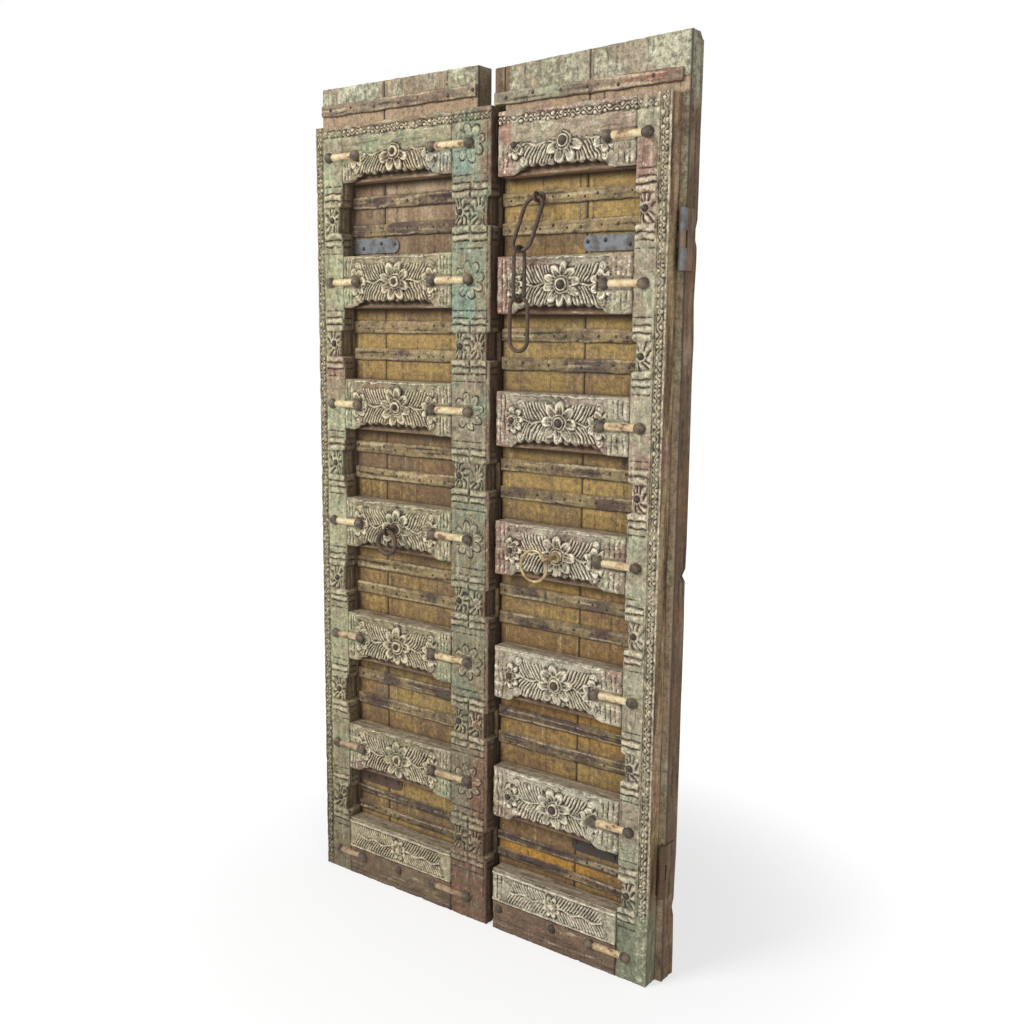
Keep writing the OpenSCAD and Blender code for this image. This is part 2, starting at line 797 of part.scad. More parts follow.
module right_boss_nails() {
  mid = (right_x + right_stile_in) / 2;
  pad_x = (right_stile_in + 3 + right_end - 2 * border_in - 5) / 2;
  pad_y = face_y - relief + 1;
  color("#3b342e") {
    for (p = [1 : rail_gaps])
      cap(pad_x, pad_y, panel_z(right_h, p), nail_r, nail_h);
    for (k = boss_rails())
      cap(mid, bloom_y, rail_z(right_h, k), nail_r + 3, nail_h + 2);
    for (k = [0 : rail_gaps - 1])
      cap(right_x + end_flower_x, bloom_y, rail_z(right_h, k), nail_r, nail_h);
    for (x = [right_x + end_block_w / 2, mid])
      cap(x, face_y, foot_rail_up, nail_r, nail_h);
  }
}

// Ring of wire about the Y axis
module hoop(r, wire) {
  rotate([90, 0, 0])
    rotate_extrude()
      translate([r, 0])
        circle(wire);
}

// Eye whose hole lies along X, centred on the origin, on a bolt that goes back by len to its plate
module eye_bolt(wire, len) {
  r = eye_r(wire);
  rotate([0, 0, 90])
    hoop(r, eye_wire);
  translate([0, r, 0])
    rotate([-90, 0, 0])
      cylinder(r = shank_r, h = len - r);
  translate([0, len - eye_plate_t, 0])
    rotate([-90, 0, 0])
      cylinder(r = eye_plate_r, h = eye_plate_t);
}

left_eye = [(left_stile_in + meeting_stile_in) / 2, face_y - left_ring_out, rail_z(left_h, ring_rail)];
right_eye = [(right_x + right_stile_in) / 2, face_y - right_ring_out, rail_z(right_h, ring_rail)];

module left_ring_eye() {
  color("#3f3a36")
    translate(left_eye)
      eye_bolt(left_ring_wire, bloom_y - left_eye[1]);
}

module right_ring_eye() {
  color("#b39a5e")
    translate(right_eye)
      rotate([0, right_ring_turn, 0])
        eye_bolt(right_ring_wire, bloom_y - right_eye[1]);
}

// Drop of a ring's middle below its eye's middle
function ring_drop(r) = r + eye_play - slack;

module left_ring() {
  color("#4a433c")
    translate(left_eye - [0, 0, ring_drop(left_ring_r)])
      hoop(left_ring_r, left_ring_wire);
}

module right_ring() {
  color("#d8c68c")
    translate(right_eye)
      rotate([0, right_ring_turn, 0])
        translate([0, 0, -ring_drop(right_ring_r)])
          hoop(right_ring_r, right_ring_wire);
}

module chain_staple() {
  color("#4b443d")
    translate([chain_px, staple_y, staple_z])
      eye_bolt(link_wire, staple_out);
}

// Long link in X and Z that hangs from the middle of its top wire
module link(len, w) {
  bend = w / 2;
  color("#574f48") {
    for (side = [-1, 1])
      translate([side * bend, 0, -len + bend])
        cylinder(r = link_wire, h = len - 2 * bend);
    for (z = [-bend, -len + bend])
      translate([0, 0, z])
        rotate([90, z == -bend ? 0 : 180, 0])
          rotate_extrude(angle = 180)
            translate([bend, 0])
              circle(link_wire);
  }
}

module chain_link_1() {
  translate(first_top)
    rotate([-first_link_lean, 0, 0])
      link(first_link_l, link_w);
}

module chain_link_2() {
  translate([chain_px, first_low[1], mid_top_z])
    rotate([0, 0, 90])
      link(link_l, mid_link_w);
}

module chain_link_3() {
  translate([chain_px, first_low[1], last_top_z])
    link(link_l, link_w);
}

for (s = sides, u = ["upper", "lower"])
  jamb_hinge(s, u);
left_outer_plank();
left_inner_plank();
left_meeting_plank();
right_top_block();
right_inner_plank();
right_outer_plank();
left_hinge_stile();
left_meeting_stile();
right_hinge_stile();
for (s = sides) {
  head_batten(s);
  for (p = [1 : rail_gaps])
    panel_battens(s, p);
  for (u = ["upper", "lower"])
    leaf_strap(s, u);
}
for (k = [1 : rail_gaps - 1]) {
  left_rail(k);
  right_rail(k);
}
left_rail(0);  // left_top_rail
right_rail(0);  // right_top_rail
left_rail(rail_gaps);  // left_foot_rail
right_rail(rail_gaps);  // right_foot_rail
left_rods();
right_rods();
left_boss_nails();
right_boss_nails();
left_ring_eye();
right_ring_eye();
left_ring();
right_ring();
chain_staple();
chain_link_1();
chain_link_2();
chain_link_3();
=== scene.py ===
"""Looks of a pair of carved plank door leaves: sculpted boards, worn paint, old iron."""
import math

import bmesh
import bpy
import numpy as np
from mathutils import Matrix, Vector


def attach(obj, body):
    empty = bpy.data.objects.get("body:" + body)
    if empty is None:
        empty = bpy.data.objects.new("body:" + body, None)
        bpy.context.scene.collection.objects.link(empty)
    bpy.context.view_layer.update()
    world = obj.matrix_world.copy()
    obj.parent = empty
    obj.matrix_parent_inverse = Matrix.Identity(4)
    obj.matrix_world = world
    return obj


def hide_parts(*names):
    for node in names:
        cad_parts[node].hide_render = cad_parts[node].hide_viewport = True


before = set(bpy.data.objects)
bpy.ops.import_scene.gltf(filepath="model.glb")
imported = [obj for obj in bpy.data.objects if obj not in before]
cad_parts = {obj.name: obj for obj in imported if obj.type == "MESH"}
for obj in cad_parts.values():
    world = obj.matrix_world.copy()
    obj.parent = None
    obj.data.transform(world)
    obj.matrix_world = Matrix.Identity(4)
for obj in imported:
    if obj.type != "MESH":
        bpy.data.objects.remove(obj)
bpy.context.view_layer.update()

# Sizes of the door in millimetres, as in the part's source
MM = 0.001
FACE_Y = -70.0
SLAB_Y = -52.0
PLANK_Y = -26.0
PLANK_BACK = 26.0
FRAME_T = PLANK_Y - FACE_Y
PLANK_T = PLANK_BACK - PLANK_Y
LEFT_H = 2000.0
RIGHT_H = 1982.0
LEAF_H = {"left": LEFT_H, "right": RIGHT_H}
LEFT_EDGE = -534.5
LEFT_X = -516.5
LEFT_IN = -424.2
MEETING_IN = -64.8
MEETING_X = 51.5
RIGHT_PLANK_X = 57.5
RIGHT_X = 72.5
RIGHT_IN = 435.2
RIGHT_END = 516.5
RIGHT_EDGE = 534.5
LEFT_SEAM = -318.5
RIGHT_SEAM = 288.5
TONGUE_CUT = -21.5
TONGUE_REACH = 28.5
TONGUE_L = 104.0
TONGUE_R = 109.0
TONGUE_RISE = 18.0
SEAM = 0.5
JOINT = 0.3
RAIL_HALF = 65.0
TOP_DROP = 77.0
FOOT_UP = 57.0
FOOT_H = 160.0
GAPS = 6
PANELS = range(1, GAPS + 1)
ROSETTE_R = 50.0
END_FLOWER_R = 31.0
END_FLOWER_X = RIGHT_X + 40.0 + END_FLOWER_R / 3
STILE_FLOWER_R = 45.0
STILE_BORDER = 27.0
PILASTER_IN = 31.0
FOOT_FIELD_Z = 115.0
ROD_CLEAR = 15.0
BLOOM = 8.0
PAD = 4.0
WAIST = 11.0
ROD_ENDS = {"left": (-375.5, -124.5), "right": (363.5,)}
ROD_STILE_ENDS = {"left": -467.5, "meeting": -10.5, "right": 463.5}
BATTEN_NAILS = {"left": (LEFT_IN, MEETING_IN), "right": (60.0, RIGHT_IN)}
HEAD_NAILS = {"left": (-530.0, -26.0), "right": (34.0, 516.0)}
STRAP_NAILS = ((34, -5), (96, 6), (142, 4))
FOOT_NAILS = {"left": (-244.5,), "right": (RIGHT_X + 20.0, 254.0)}
BATTEN_T = 5.0
BATTEN_SHARE = 0.171
SPLIT_SHARE = 0.72
BATTEN_STEP = 3.6
BATTEN_SPAN = {"left": (LEFT_IN + JOINT, MEETING_IN - JOINT),
               "right": (RIGHT_PLANK_X + 2 * JOINT, RIGHT_IN - JOINT)}
HEAD_T = 7.0
HEAD_H = 29.0
HEAD_UP = {"left": 33.0, "right": 24.0}
HEAD_SPAN = {"left": (LEFT_EDGE + 3, TONGUE_CUT - 3), "right": (TONGUE_REACH + 3, RIGHT_EDGE - 16)}
STRAP_OFF = 0.044 + 0.199 / 2
EYE_X = (515.0, 521.0)
JAMB_PLATE_Y = (-29.0, -26.0)
CARVING_STEP = 1.9
SIDE_STEPS = 14
# Vertex masks of the boards; the grime mask also carries painted shade in creases, under parts and beside
# joints
MASKS = ("ridge", "grime_and_shade", "paint", "red", "bare", "tone")
ROUGH = {"ridge": 0.5, "grime_and_shade": 0.15, "paint": 0.0, "red": 0.0, "bare": 1.0, "tone": 0.6}


def rail_z(height, k):
    return height - TOP_DROP - (height - TOP_DROP - FOOT_UP) * k / GAPS


def panel_z(height, p):
    return (rail_z(height, p - 1) + rail_z(height, p)) / 2


def panel_low(height, p):
    return FOOT_H if p == GAPS else rail_z(height, p) + RAIL_HALF


def panel_high(height, p):
    return rail_z(height, p - 1) - RAIL_HALF


def panel_clear(height):
    return panel_high(height, 1) - panel_low(height, 1)


def batten_rows(height, p):
    low, high = panel_low(height, p), panel_high(height, p)
    shares = (0.2, 0.53) if p == GAPS else (0.36, 0.74)
    return [low + (high - low) * share for share in shares]


def batten_tall(height, p):
    """Height of a panel's battens; those of the lowest panel have split narrower."""
    return BATTEN_SHARE * panel_clear(height) * (SPLIT_SHARE if p == GAPS else 1.0)


# Carving: heights in millimetres in front of the frame's face

def ease(low, high, value):
    """0 at low, 1 at high, smooth between."""
    t = np.clip((value - low) / (high - low), 0, 1)
    return t * t * (3 - 2 * t)


def between(value, low, high, soft):
    """1 from low to high, easing to 0 over a soft width inside each end."""
    return ease(low, low + soft, value) * ease(high, high - soft, value)


def fade(distance, reach):
    """1 at distance 0, falling off on both sides."""
    return np.exp(-np.abs(distance) / reach)


def crest(distance, width):
    """Rounded ridge along distance 0."""
    return np.exp(-(distance / width) ** 2)


def dome(distance, radius):
    return np.sqrt(np.clip(1 - (distance / radius) ** 2, 0, 1))


def ripple(x, z, seed, longest, shortest, count=14):
    """Smooth unevenness between about -2 and 2."""
    rng = np.random.default_rng(seed)
    total = np.zeros(np.broadcast(x, z).shape)
    for _ in range(count):
        wave = 2 * np.pi / rng.uniform(shortest, longest)
        angle, phase = rng.uniform(0, 2 * np.pi, 2)
        total += np.sin(wave * (x * math.cos(angle) + z * math.sin(angle)) + phase)
    return total / math.sqrt(count / 2)


def wobble(x, z, seed, much):
    """Places on a drawn pattern, shifted as a hand-held chisel strays."""
    return x + much * ripple(x, z, seed, 80, 22), z + much * ripple(x, z, seed + 1, 80, 22)


def petals(dx, dz, radius, count, turn):
    """Distance from the middle, angle off a petal's middle line, and share of the petal's reach."""
    r = np.hypot(dx, dz) + 1e-6
    pitch = 2 * np.pi / count
    a = (np.arctan2(dz, dx) + turn) / pitch
    off = (a - np.floor(a) - 0.5) * pitch
    reach = radius * (0.5 + 0.5 * np.abs(np.cos(count * off / 2)) ** 0.6)
    return r, off, r / reach


def flower(dx, dz, radius, count=8, turn=0.0):
    """Hollow petals with raised rims round a flat middle."""
    r, off, t = petals(dx, dz, radius, count, turn)
    cup = 1.6 + 5.6 * ease(0.5, 0.88, t) + 1.6 * crest(off * r, 1.3) * ease(0.25, 0.5, t)
    body = cup * ease(1.05, 0.95, t)
    ring = 6.0 * crest(r - 0.37 * radius, 2.4)
    middle = BLOOM * ease(0.31, 0.27, r / radius)
    return np.maximum.reduce([body, ring, middle])


def outlined_flower(dx, dz, radius, count=8, turn=0.0):
    """Flat petals drawn with cut lines."""
    r, off, t = petals(dx, dz, radius, count, turn)
    body = 2.2 * ease(1.02, 0.96, t) - 3.4 * crest((t - 1.0) * radius, 2.2)
    veins = -1.6 * crest(off * r, 1.1) * ease(1.0, 0.9, t) * ease(0.3, 0.45, t)
    return body + veins - 2.2 * crest(r - 0.36 * radius, 1.6)


def feather(along, across, length, half, pitch=9.2):
    """Leaf that grows from along 0: a wavy midrib and barbs that lean outwards."""
    inside = between(along, -2, length, 5)
    rib = 5.5 * crest(across - 3.4 * np.sin(along / 9.0), 2.6)
    d = np.abs(across)
    phase = (along - 0.85 * d + 0.006 * d * d) / pitch
    wave = np.abs(np.cos(np.pi * phase))
    tips = half * (0.84 + 0.16 * wave)
    barbs = (-2.5 + 7.4 * wave ** 1.1) * ease(2.5, 6, d) * ease(tips, tips - 4, d)
    return np.maximum(rib, barbs) * inside - 4.0 * (1 - inside)


def flutes(x, x0, x1, pitch=12.0):
    """Flat strips parted by narrow cuts."""
    n = max(2, round((x1 - x0) / pitch))
    wave = np.abs(np.sin(np.pi * n * (x - x0) / (x1 - x0))) ** 0.5
    return (3.8 * wave - 2.2) * between(x, x0 - 0.5, x1 + 0.5, 1.5)


def bud(dx, dz, radius, height=5.5):
    r = np.hypot(dx, dz)
    return height * dome(r, radius) - 2.4 * crest(r - 0.5 * radius, 1.2) - 4.0 * (r > radius)


def vine(across, along, pitch=25.0, swing=4.2):
    """Running border: a waving stem with a leaf in every bend, over a cut-away ground."""
    along = along + 5 * np.sin(along / 37) + 2.5 * np.sin(along / 13.7)
    stem = 3.4 * crest(across - swing * np.sin(2 * np.pi * along / pitch), 1.7)
    half = pitch / 2
    n = np.round((along - pitch / 4) / half)
    side = np.where(np.mod(n, 2) == 0, -1, 1)
    dz = along - pitch / 4 - n * half
    leaf = 3.6 * dome(np.hypot((across - side * swing * 0.95) * 1.1, dz), 4.4)
    return np.maximum(stem, leaf) * 1.5 - 2.8


def bands(dz):
    """Two cushions above and below the middle of a pilaster, parted by cut lines."""
    d = np.abs(dz)
    cushions = np.maximum(4.6 * dome(d - 39.5, 8.5), 3.8 * dome(d - 57, 6.5))
    return cushions - 2.0 * crest(d - 49.3, 1.4) - 2.2 * crest(d - 66, 1.6)


def pilaster(dx, dz, half):
    """Cushioned pilaster with leaves fanned round the boss nail's pad."""
    inside = ease(half + 0.8, half - 0.8, np.abs(dx))
    r = np.hypot(dx, dz)
    bend = 0.06 * r + 0.5 * np.sin(dz / 7 + 1.3 * np.sin(dx / 6))
    rays = np.abs(np.cos(4.5 * np.arctan2(dz, 1.3 * dx) + bend))
    leaf = (-2.2 + 5.6 * rays) * ease(32, 27, np.abs(dz))
    pad = ease(14, 12, r)
    return np.where(np.abs(dz) > 31, bands(dz), leaf * (1 - pad) + PAD * pad) * inside


def rod_bed(up):
    """1 in the strip that stays flat under a rod, up from the rod's line."""
    return ease(ROD_CLEAR + 3, ROD_CLEAR, np.abs(up))


def lobes(t, count, sag):
    return sag * np.abs(np.sin(np.pi * count * t))


def blur(field, rounds):
    for _ in range(rounds):
        wide = np.pad(field, 1, mode="edge")
        near = wide[:-2, 1:-1] + wide[2:, 1:-1] + wide[1:-1, :-2] + wide[1:-1, 2:]
        field = (wide[1:-1, 1:-1] * 2 + near) / 6
    return field


def new_board():
    bm = bmesh.new()
    for key in MASKS:
        bm.verts.layers.float.new(key)
    return bm


def add_grid(bm, x, y, z, masks):
    """Grid of faces with its corners at x, y and z."""
    rows, columns = x.shape
    layers = [bm.verts.layers.float[key] for key in MASKS]
    sheets = [np.broadcast_to(masks.get(key, 0.0), x.shape) for key in MASKS]
    values = np.stack([x * MM, y * MM, z * MM] + sheets, axis=-1).tolist()
    made = bmesh.ops.create_grid(bm, x_segments=columns - 1, y_segments=rows - 1, size=1.0)["verts"]
    for v in made:
        i = round((v.co.x + 1) / 2 * (columns - 1))
        j = round((v.co.y + 1) / 2 * (rows - 1))
        spot = values[j][i]
        v.co = spot[:3]
        for layer, value in zip(layers, spot[3:]):
            v[layer] = value
    return made


def add_board(bm, x, y, z, masks, back):
    """Face grid closed by straight sides to the plane at back."""
    made = add_grid(bm, x, y, z, masks)
    rim = {e for v in made for e in v.link_edges if e.is_boundary}
    grown = bmesh.ops.extrude_edge_only(bm, edges=list(rim))["geom"]
    for item in grown:
        if isinstance(item, bmesh.types.BMVert):
            item.co.y = back * MM
            for key, value in ROUGH.items():
                item[bm.verts.layers.float[key]] = value
    loop = [item for item in grown if isinstance(item, bmesh.types.BMEdge) and item.is_boundary]
    back_faces = bmesh.ops.edgeloop_fill(bm, edges=loop)["faces"]
    bmesh.ops.triangulate(bm, faces=back_faces)


def add_wrapped_board(bm, *board):
    """Face grid carried round the board's side and back until its ends meet, capped above and below."""
    made = add_grid(bm, *wrap_side(*board))
    bmesh.ops.remove_doubles(bm, verts=made, dist=1e-6)
    ends = [e for e in bm.edges if e.is_boundary]
    caps = bmesh.ops.edgeloop_fill(bm, edges=ends)["faces"]
    bmesh.ops.triangulate(bm, faces=caps)


def settle(side, name, bm, finish, node=None, sharp=48):
    """Finished piece from a bmesh: smooth shaded, riding on its leaf, in the place of a plainer node."""
    name = f"{side}_{name}"
    bmesh.ops.recalc_face_normals(bm, faces=bm.faces)
    for f in bm.faces:
        f.smooth = True
    mesh = bpy.data.meshes.new(name)
    bm.to_mesh(mesh)
    bm.free()
    mesh.set_sharp_from_angle(angle=math.radians(sharp))
    mesh.materials.append(finish)
    piece = bpy.data.objects.new(name, mesh)
    bpy.context.scene.collection.objects.link(piece)
    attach(piece, f"{side}_leaf")
    if node:
        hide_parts(f"{side}_{node}")


def weather(height, x, z, seed):
    """Rubs a carved height down, unevenly."""
    rubbed = ease(0.3, 1.8, ripple(x, z, seed + 2, 180, 50))
    height = height * (1 - 0.4 * rubbed)
    return height + 0.5 * ripple(x, z, seed, 60, 9) + 0.2 * ripple(x, z, seed + 1, 9, 4)


def rounded_rim(x, z, x0, x1, z0, z1, seed):
    """How far the worn rim of a board falls back from its face."""
    chips = 1.5 * np.clip(ripple(x, z, seed, 120, 14) - 0.7, 0, 2)
    d = np.minimum.reduce([x - x0, x1 - x, z - z0, z1 - z])
    return -(1.6 + chips) * ease(3.5 + chips, 0, d)


def worn_face(height, x, z, box, seed, grime_and_shade, **more):
    """Carved height rubbed down and rounded at the rim of its box, and the masks of what is left."""
    height = weather(height, x, z, seed)
    local = height - blur(height, 10)
    broad = height - blur(height, 60)
    # Painted shade in the hollows: where the carving lies low, ridge drops and the grime mask grows, and
    # both darken the colour
    masks = {
        "ridge": 0.5 + 0.5 * np.clip(0.26 * local + 0.09 * broad, -1, 1),
        "grime_and_shade": np.clip(grime_and_shade + 0.10 * np.clip(-height, 0, 5), 0, 1),
        "tone": 0.5,
    }
    return height + rounded_rim(x, z, *box, seed + 3), masks | more


def join_masks(axis, *parts):
    """Masks of grids put together along an axis; each part is a set of masks and its grid's shape."""
    sheets = {key: [np.broadcast_to(masks.get(key, 0.0), shape) for masks, shape in parts] for key in MASKS}
    return {key: np.concatenate(rows, axis) for key, rows in sheets.items()}


def wrap_side(x, y, z, masks, relief, side_masks, back, drop=0.0):
    """Carries a face grid round its right edge, along the board's side and back, to where it began."""
    depth = np.linspace(0, 1, relief.shape[1] + 1)[None, 1:]
    x0, x1, z0, z1 = x[:, :1], x[:, -1:], z[:, :1], z[:, -1:]
    flat = np.full_like(x0, back)
    ys = y[:, -1:] + (back - y[:, -1:]) * depth
    zs = np.broadcast_to(z1 - drop, ys.shape)
    joined = join_masks(1, (masks, x.shape), (side_masks, ys.shape), (ROUGH, (x.shape[0], 3)))
    joined = {key: np.hstack([sheet, sheet[:, :1]]) for key, sheet in joined.items()}
    all_x = np.hstack([x, x1 + relief, x1 - 14, x0 + 4, x0, x0])
    all_y = np.hstack([y, ys, flat, flat, flat, y[:, :1]])
    all_z = np.hstack([z, zs, zs[:, -1:], z0, z0, z0])
    return all_x, all_y, all_z, joined


# Rails

RAIL_SPAN = {"left": (LEFT_IN, MEETING_IN), "right": (RIGHT_X, RIGHT_IN)}
# Widths of the fluted block, and of block and bud together, at the left and right end of a rail
RAIL_ENDS = {
    "left": (33.0, 65.0, 44.0, 76.0),
    "right": (40.0, END_FLOWER_X + END_FLOWER_R + 3 - RIGHT_X, 56.0, 88.0),
}


def rail_face(side, k, x, w, edge, lobe, seed):
    """Carved height over one rail's face, w up from the rod line, with its paint and red masks and its mask
    of grime and painted shade.
    """
    x0, x1 = RAIL_SPAN[side]
    bl, fl, br, fr = RAIL_ENDS[side]
    mid = (x0 + x1) / 2
    true_x, true_w = x, w
    x, w = wobble(x, w, seed + 21, 1.1)
    u = x - mid
    field = between(x, x0 + bl, x1 - br, 3)
    left_len, right_len = mid - x0 - fl - 20, x1 - fr - mid - 20
    leaf = np.where(u < 0, feather(-u - 30, w, left_len, 46), feather(u - 30, w, right_len, 46))
    spots = [(cx, cz) for cx in (x0 + fl - 12, x1 - fr + 12) for cz in (-37, 38)]
    buds = np.maximum.reduce([bud(x - cx, w - cz, 10.5) for cx, cz in spots])
    rosette = flower(u, w, ROSETTE_R, 10 if k == 1 and side == "right" else 8, 0.23 * (seed % 7))
    hang = 5.2 * dome(np.hypot(lobe, w - edge - 6), 11.5) - 4.0
    carved = np.maximum.reduce([leaf, buds, rosette, hang])
    for cx in ROD_ENDS[side]:
        ends = flower(x - cx, w, 35, 7, 0.4) * 0.8
        carved = np.where((ends > 0.3) & (np.abs(u) > 48), ends, carved)
    blocks = np.where(x < mid, flutes(x, x0 + 2, x0 + bl), flutes(x, x1 - br, x1 - 2))
    blocks = blocks * between(w, -61, 60, 3)
    if side == "right":
        half = flower(x - END_FLOWER_X, w, END_FLOWER_R, 8, 0.3)
        petal = (half > 0.4) & (x > x0 + bl - 6)
        rib = 5.0 * crest(w - 3.4 * np.sin(u / 8), 2.4) - 4
        carved = np.where(petal, np.maximum(half, carved), np.maximum(carved, rib))
        blocks = np.where(petal, half, blocks)
    paint = np.maximum(1 - field, 0.3)
    if k == 0:
        below = ease(3, 0, w)
        rope = vine(w - 57, x) * between(w, 48, 66, 2)
        lines = -2.6 * (crest(w - 47.5, 1.3) + crest(w - 66.5, 1.3))
        top = np.where(np.hypot(u, w) < 20, flower(u, w, ROSETTE_R), rope + lines)
        carved = np.where(w < 2, carved, top)
        blocks = blocks * below + (rope + lines) * (1 - below)
        field = np.where(w < 2, field, 1.0)
        paint = np.maximum(paint, ease(2, 5, w) * ease(50, 46, w))
    else:
        carved = np.where(w > 57, np.maximum(carved, 2.6 * crest(w - 60, 2.2)), carved)
    height = carved * field + blocks * (1 - field)
    x, w = true_x, true_w
    beside = (x > x1 - fr - 2) | ((x < x0 + fl + 2) & (side == "left"))
    height = height * (1 - rod_bed(w) * beside)
    red = 0.7 * np.clip(ripple(x * 0.5, w * 0.7, seed + 31, 260, 70) - 0.5, 0, 1)
    if side == "right":
        red = np.maximum(red, ease(x0 + bl + 6, x0 + bl - 6, x) * (0.95 if k < 4 else 0.35))
    if k == 0:
        red = np.maximum.reduce([red, ease(65, 68, w) * 0.75, 0.4 * (w > 0) * (side == "right")])
        red = np.maximum(red, 0.35 * (w > 6) * ease(x0 + 90, x0 + 150, x))
    # Grime and painted shade: darker against the stile joints at the rail's ends and in a line along each
    # side of a rod lying on its flat bed
    grime_and_shade = 0.8 * fade(x1 - x, 2.5) + 0.8 * fade(x - x0, 2.5) * (side == "left")
    grime_and_shade = grime_and_shade + 0.7 * fade(np.abs(w) - ROD_CLEAR + 3, 2.5) * beside
    return height, paint, red, grime_and_shade


def make_rail(side, k, finish):
    x0, x1 = RAIL_SPAN[side]
    bl, _, br, _ = RAIL_ENDS[side]
    low = -RAIL_HALF
    top = TOP_DROP if k == 0 else RAIL_HALF
    seed = k * 10 + (500 if side == "right" else 0)
    xs = np.linspace(x0, x1, int((x1 - x0) / CARVING_STEP))
    bracket, rise, sag = 42.0, 22.0, 6.0
    inner_l, inner_r = x0 + bl + bracket, x1 - br - bracket
    count = math.floor((inner_r - inner_l) / 24.2)
    tl = np.clip((xs - x0 - bl) / bracket, 0, 1)
    tr = np.clip((x1 - br - xs) / bracket, 0, 1)
    tm = np.clip((xs - inner_l) / (inner_r - inner_l), 0, 1)
    cusps = np.where(tr < 1, lobes(tr, 2, sag * 0.7), lobes(tm, count, sag))
    cusps = np.where(tl < 1, lobes(tl, 2, sag * 0.7), cusps)
    edge = low + rise * np.minimum(tl, tr) ** 0.7 - cusps
    edge = np.maximum(edge + 0.9 * ripple(xs, xs * 0, seed + 7, 70, 15), low + 0.6)
    pitch = (inner_r - inner_l) / count
    lobe = np.where((tm > 0) & (tm < 1), tm * count - np.floor(tm * count) - 0.5, 1.0) * pitch
    front = np.linspace(0, 1, 76 if k == 0 else 70)[:, None]
    wf = edge + (top - edge) * front
    xf = np.broadcast_to(xs, wf.shape)
    face, paint, red, grime_and_shade = rail_face(side, k, xf, wf, edge, lobe, seed)
    tint = 0.85 if side == "right" and k > 3 else 0.5
    box = (x0, x1, low - 20, top)
    face, masks = worn_face(face, xf, wf, box, seed, grime_and_shade, paint=paint, red=red, tone=tint)
    face = face - 2.5 * ease(3, 0, wf - edge)
    wall = np.array([0.0, 0.45, 0.8])[:, None]
    yw = SLAB_Y + (FACE_Y - face[0] - SLAB_Y) * wall
    zw = np.broadcast_to(edge, yw.shape)
    ledge = np.linspace(0, 1, 9)[:-1][:, None]
    zl = low + (edge - low) * ledge
    bead = np.where((xs < x0 + bl) | (xs > x1 - br), 0, 5.0)
    yl = SLAB_Y - bead * dome(zl - low - 4, 4.5)
    x = np.vstack([np.broadcast_to(xs, yl.shape), np.broadcast_to(xs, yw.shape), xf])
    y = np.vstack([yl, yw, FACE_Y - face])
    z = np.vstack([zl, zw, wf]) + rail_z(LEAF_H[side], k)
    # Painted shade under the carved face: the ledge below it darkens towards the face's overhanging lower
    # edge, and the underside of that edge is dark
    ledge_grime_and_shade = 0.25 + 0.6 * ease(0.35, 1.0, np.broadcast_to(ledge, yl.shape))
    beam_grime_and_shade = np.vstack([ledge_grime_and_shade, np.full_like(yw, 0.75)])
    under = {"ridge": 0.5, "grime_and_shade": beam_grime_and_shade, "red": 0.3, "bare": 1.0, "tone": 0.5}
    bm = new_board()
    add_board(bm, x, y, z, join_masks(0, (under, beam_grime_and_shade.shape), (masks, xf.shape)), PLANK_Y)
    name = "top_rail" if k == 0 else f"rail_{k}"
    settle(side, f"carved_{name}", bm, finish, name)


def make_foot_rail(side, finish):
    x0, x1 = RAIL_SPAN[side]
    mid = (x0 + x1) / 2
    seed = 77 if side == "left" else 577
    x, z = np.meshgrid(np.linspace(x0, x1, int((x1 - x0) / CARVING_STEP)), np.linspace(0, FOOT_H, 86))
    w = z - FOOT_FIELD_Z
    u = x - mid
    start = 42.0 if side == "right" else 14.0
    end = 24.0
    lean = 0.55 * (w + 32)
    field = ease(x0 + start, x0 + start + 3, x - lean * 0.6) * ease(x1 - end, x1 - end - 3, x + lean * 0.6)
    tall = between(w, -32, 33, 3)
    field = field * tall
    left_leaf = feather(-u - 16, w, mid - x0 - start, 32, 8.6)
    right_leaf = feather(u - 16, w, x1 - mid - end, 32, 8.6)
    rosette = flower(u, w, 27)
    carved = np.maximum(np.where(u < 0, left_leaf, right_leaf), rosette * 0.8)
    beads = 4.0 * (crest(w + 35, 2.2) + crest(w - 36.5, 2.6))
    lines = beads - 2.0 * (crest(w + 40, 1.2) + crest(w - 41, 1.2))
    outside = lines - 1.6 * crest(z - 26, 1.4) - 1.4 * crest(z - 14, 1.2)
    if side == "right":
        flute = flutes(x, x0 + 3, x0 + start - 2) * tall
        outside = np.where(np.abs(flute) > 0.1, flute, outside)
    height = carved * field + outside * (1 - field)
    height = height * (1 - rod_bed(z - FOOT_UP) * (np.abs(u) > 60))
    # Grime and painted shade: darker against the stile at the rail's right end; also darker towards the
    # bottom
    grime_and_shade = 0.8 * fade(x1 - x, 2.5) + 0.35 * ease(60, 0, z) + 0.08
    foot = ease(84, 74, z)
    height, masks = worn_face(height, x, z, (x0, x1, 0, FOOT_H), seed, grime_and_shade, paint=0.45 * (1 - field),
                              tone=0.75 - 0.45 * foot, red=foot * 0.18, bare=foot * 0.9)
    bm = new_board()
    add_board(bm, x, FACE_Y - height, z, masks, PLANK_Y)
    settle(side, "carved_foot_rail", bm, finish, "foot_rail")


# Stiles

def stile_grid(x0, x1, height):
    xs = np.linspace(x0, x1, int((x1 - x0) / CARVING_STEP))
    return np.meshgrid(xs, np.linspace(0, height, int(height / 2.4)))


def waist(z, height):
    """1 where the stiles are cut narrower beside the middle of a panel, 0 elsewhere."""
    total = np.zeros_like(z)
    for p in PANELS:
        total = np.maximum(total, ease(36, 31, np.abs(z - panel_z(height, p))))
    return total


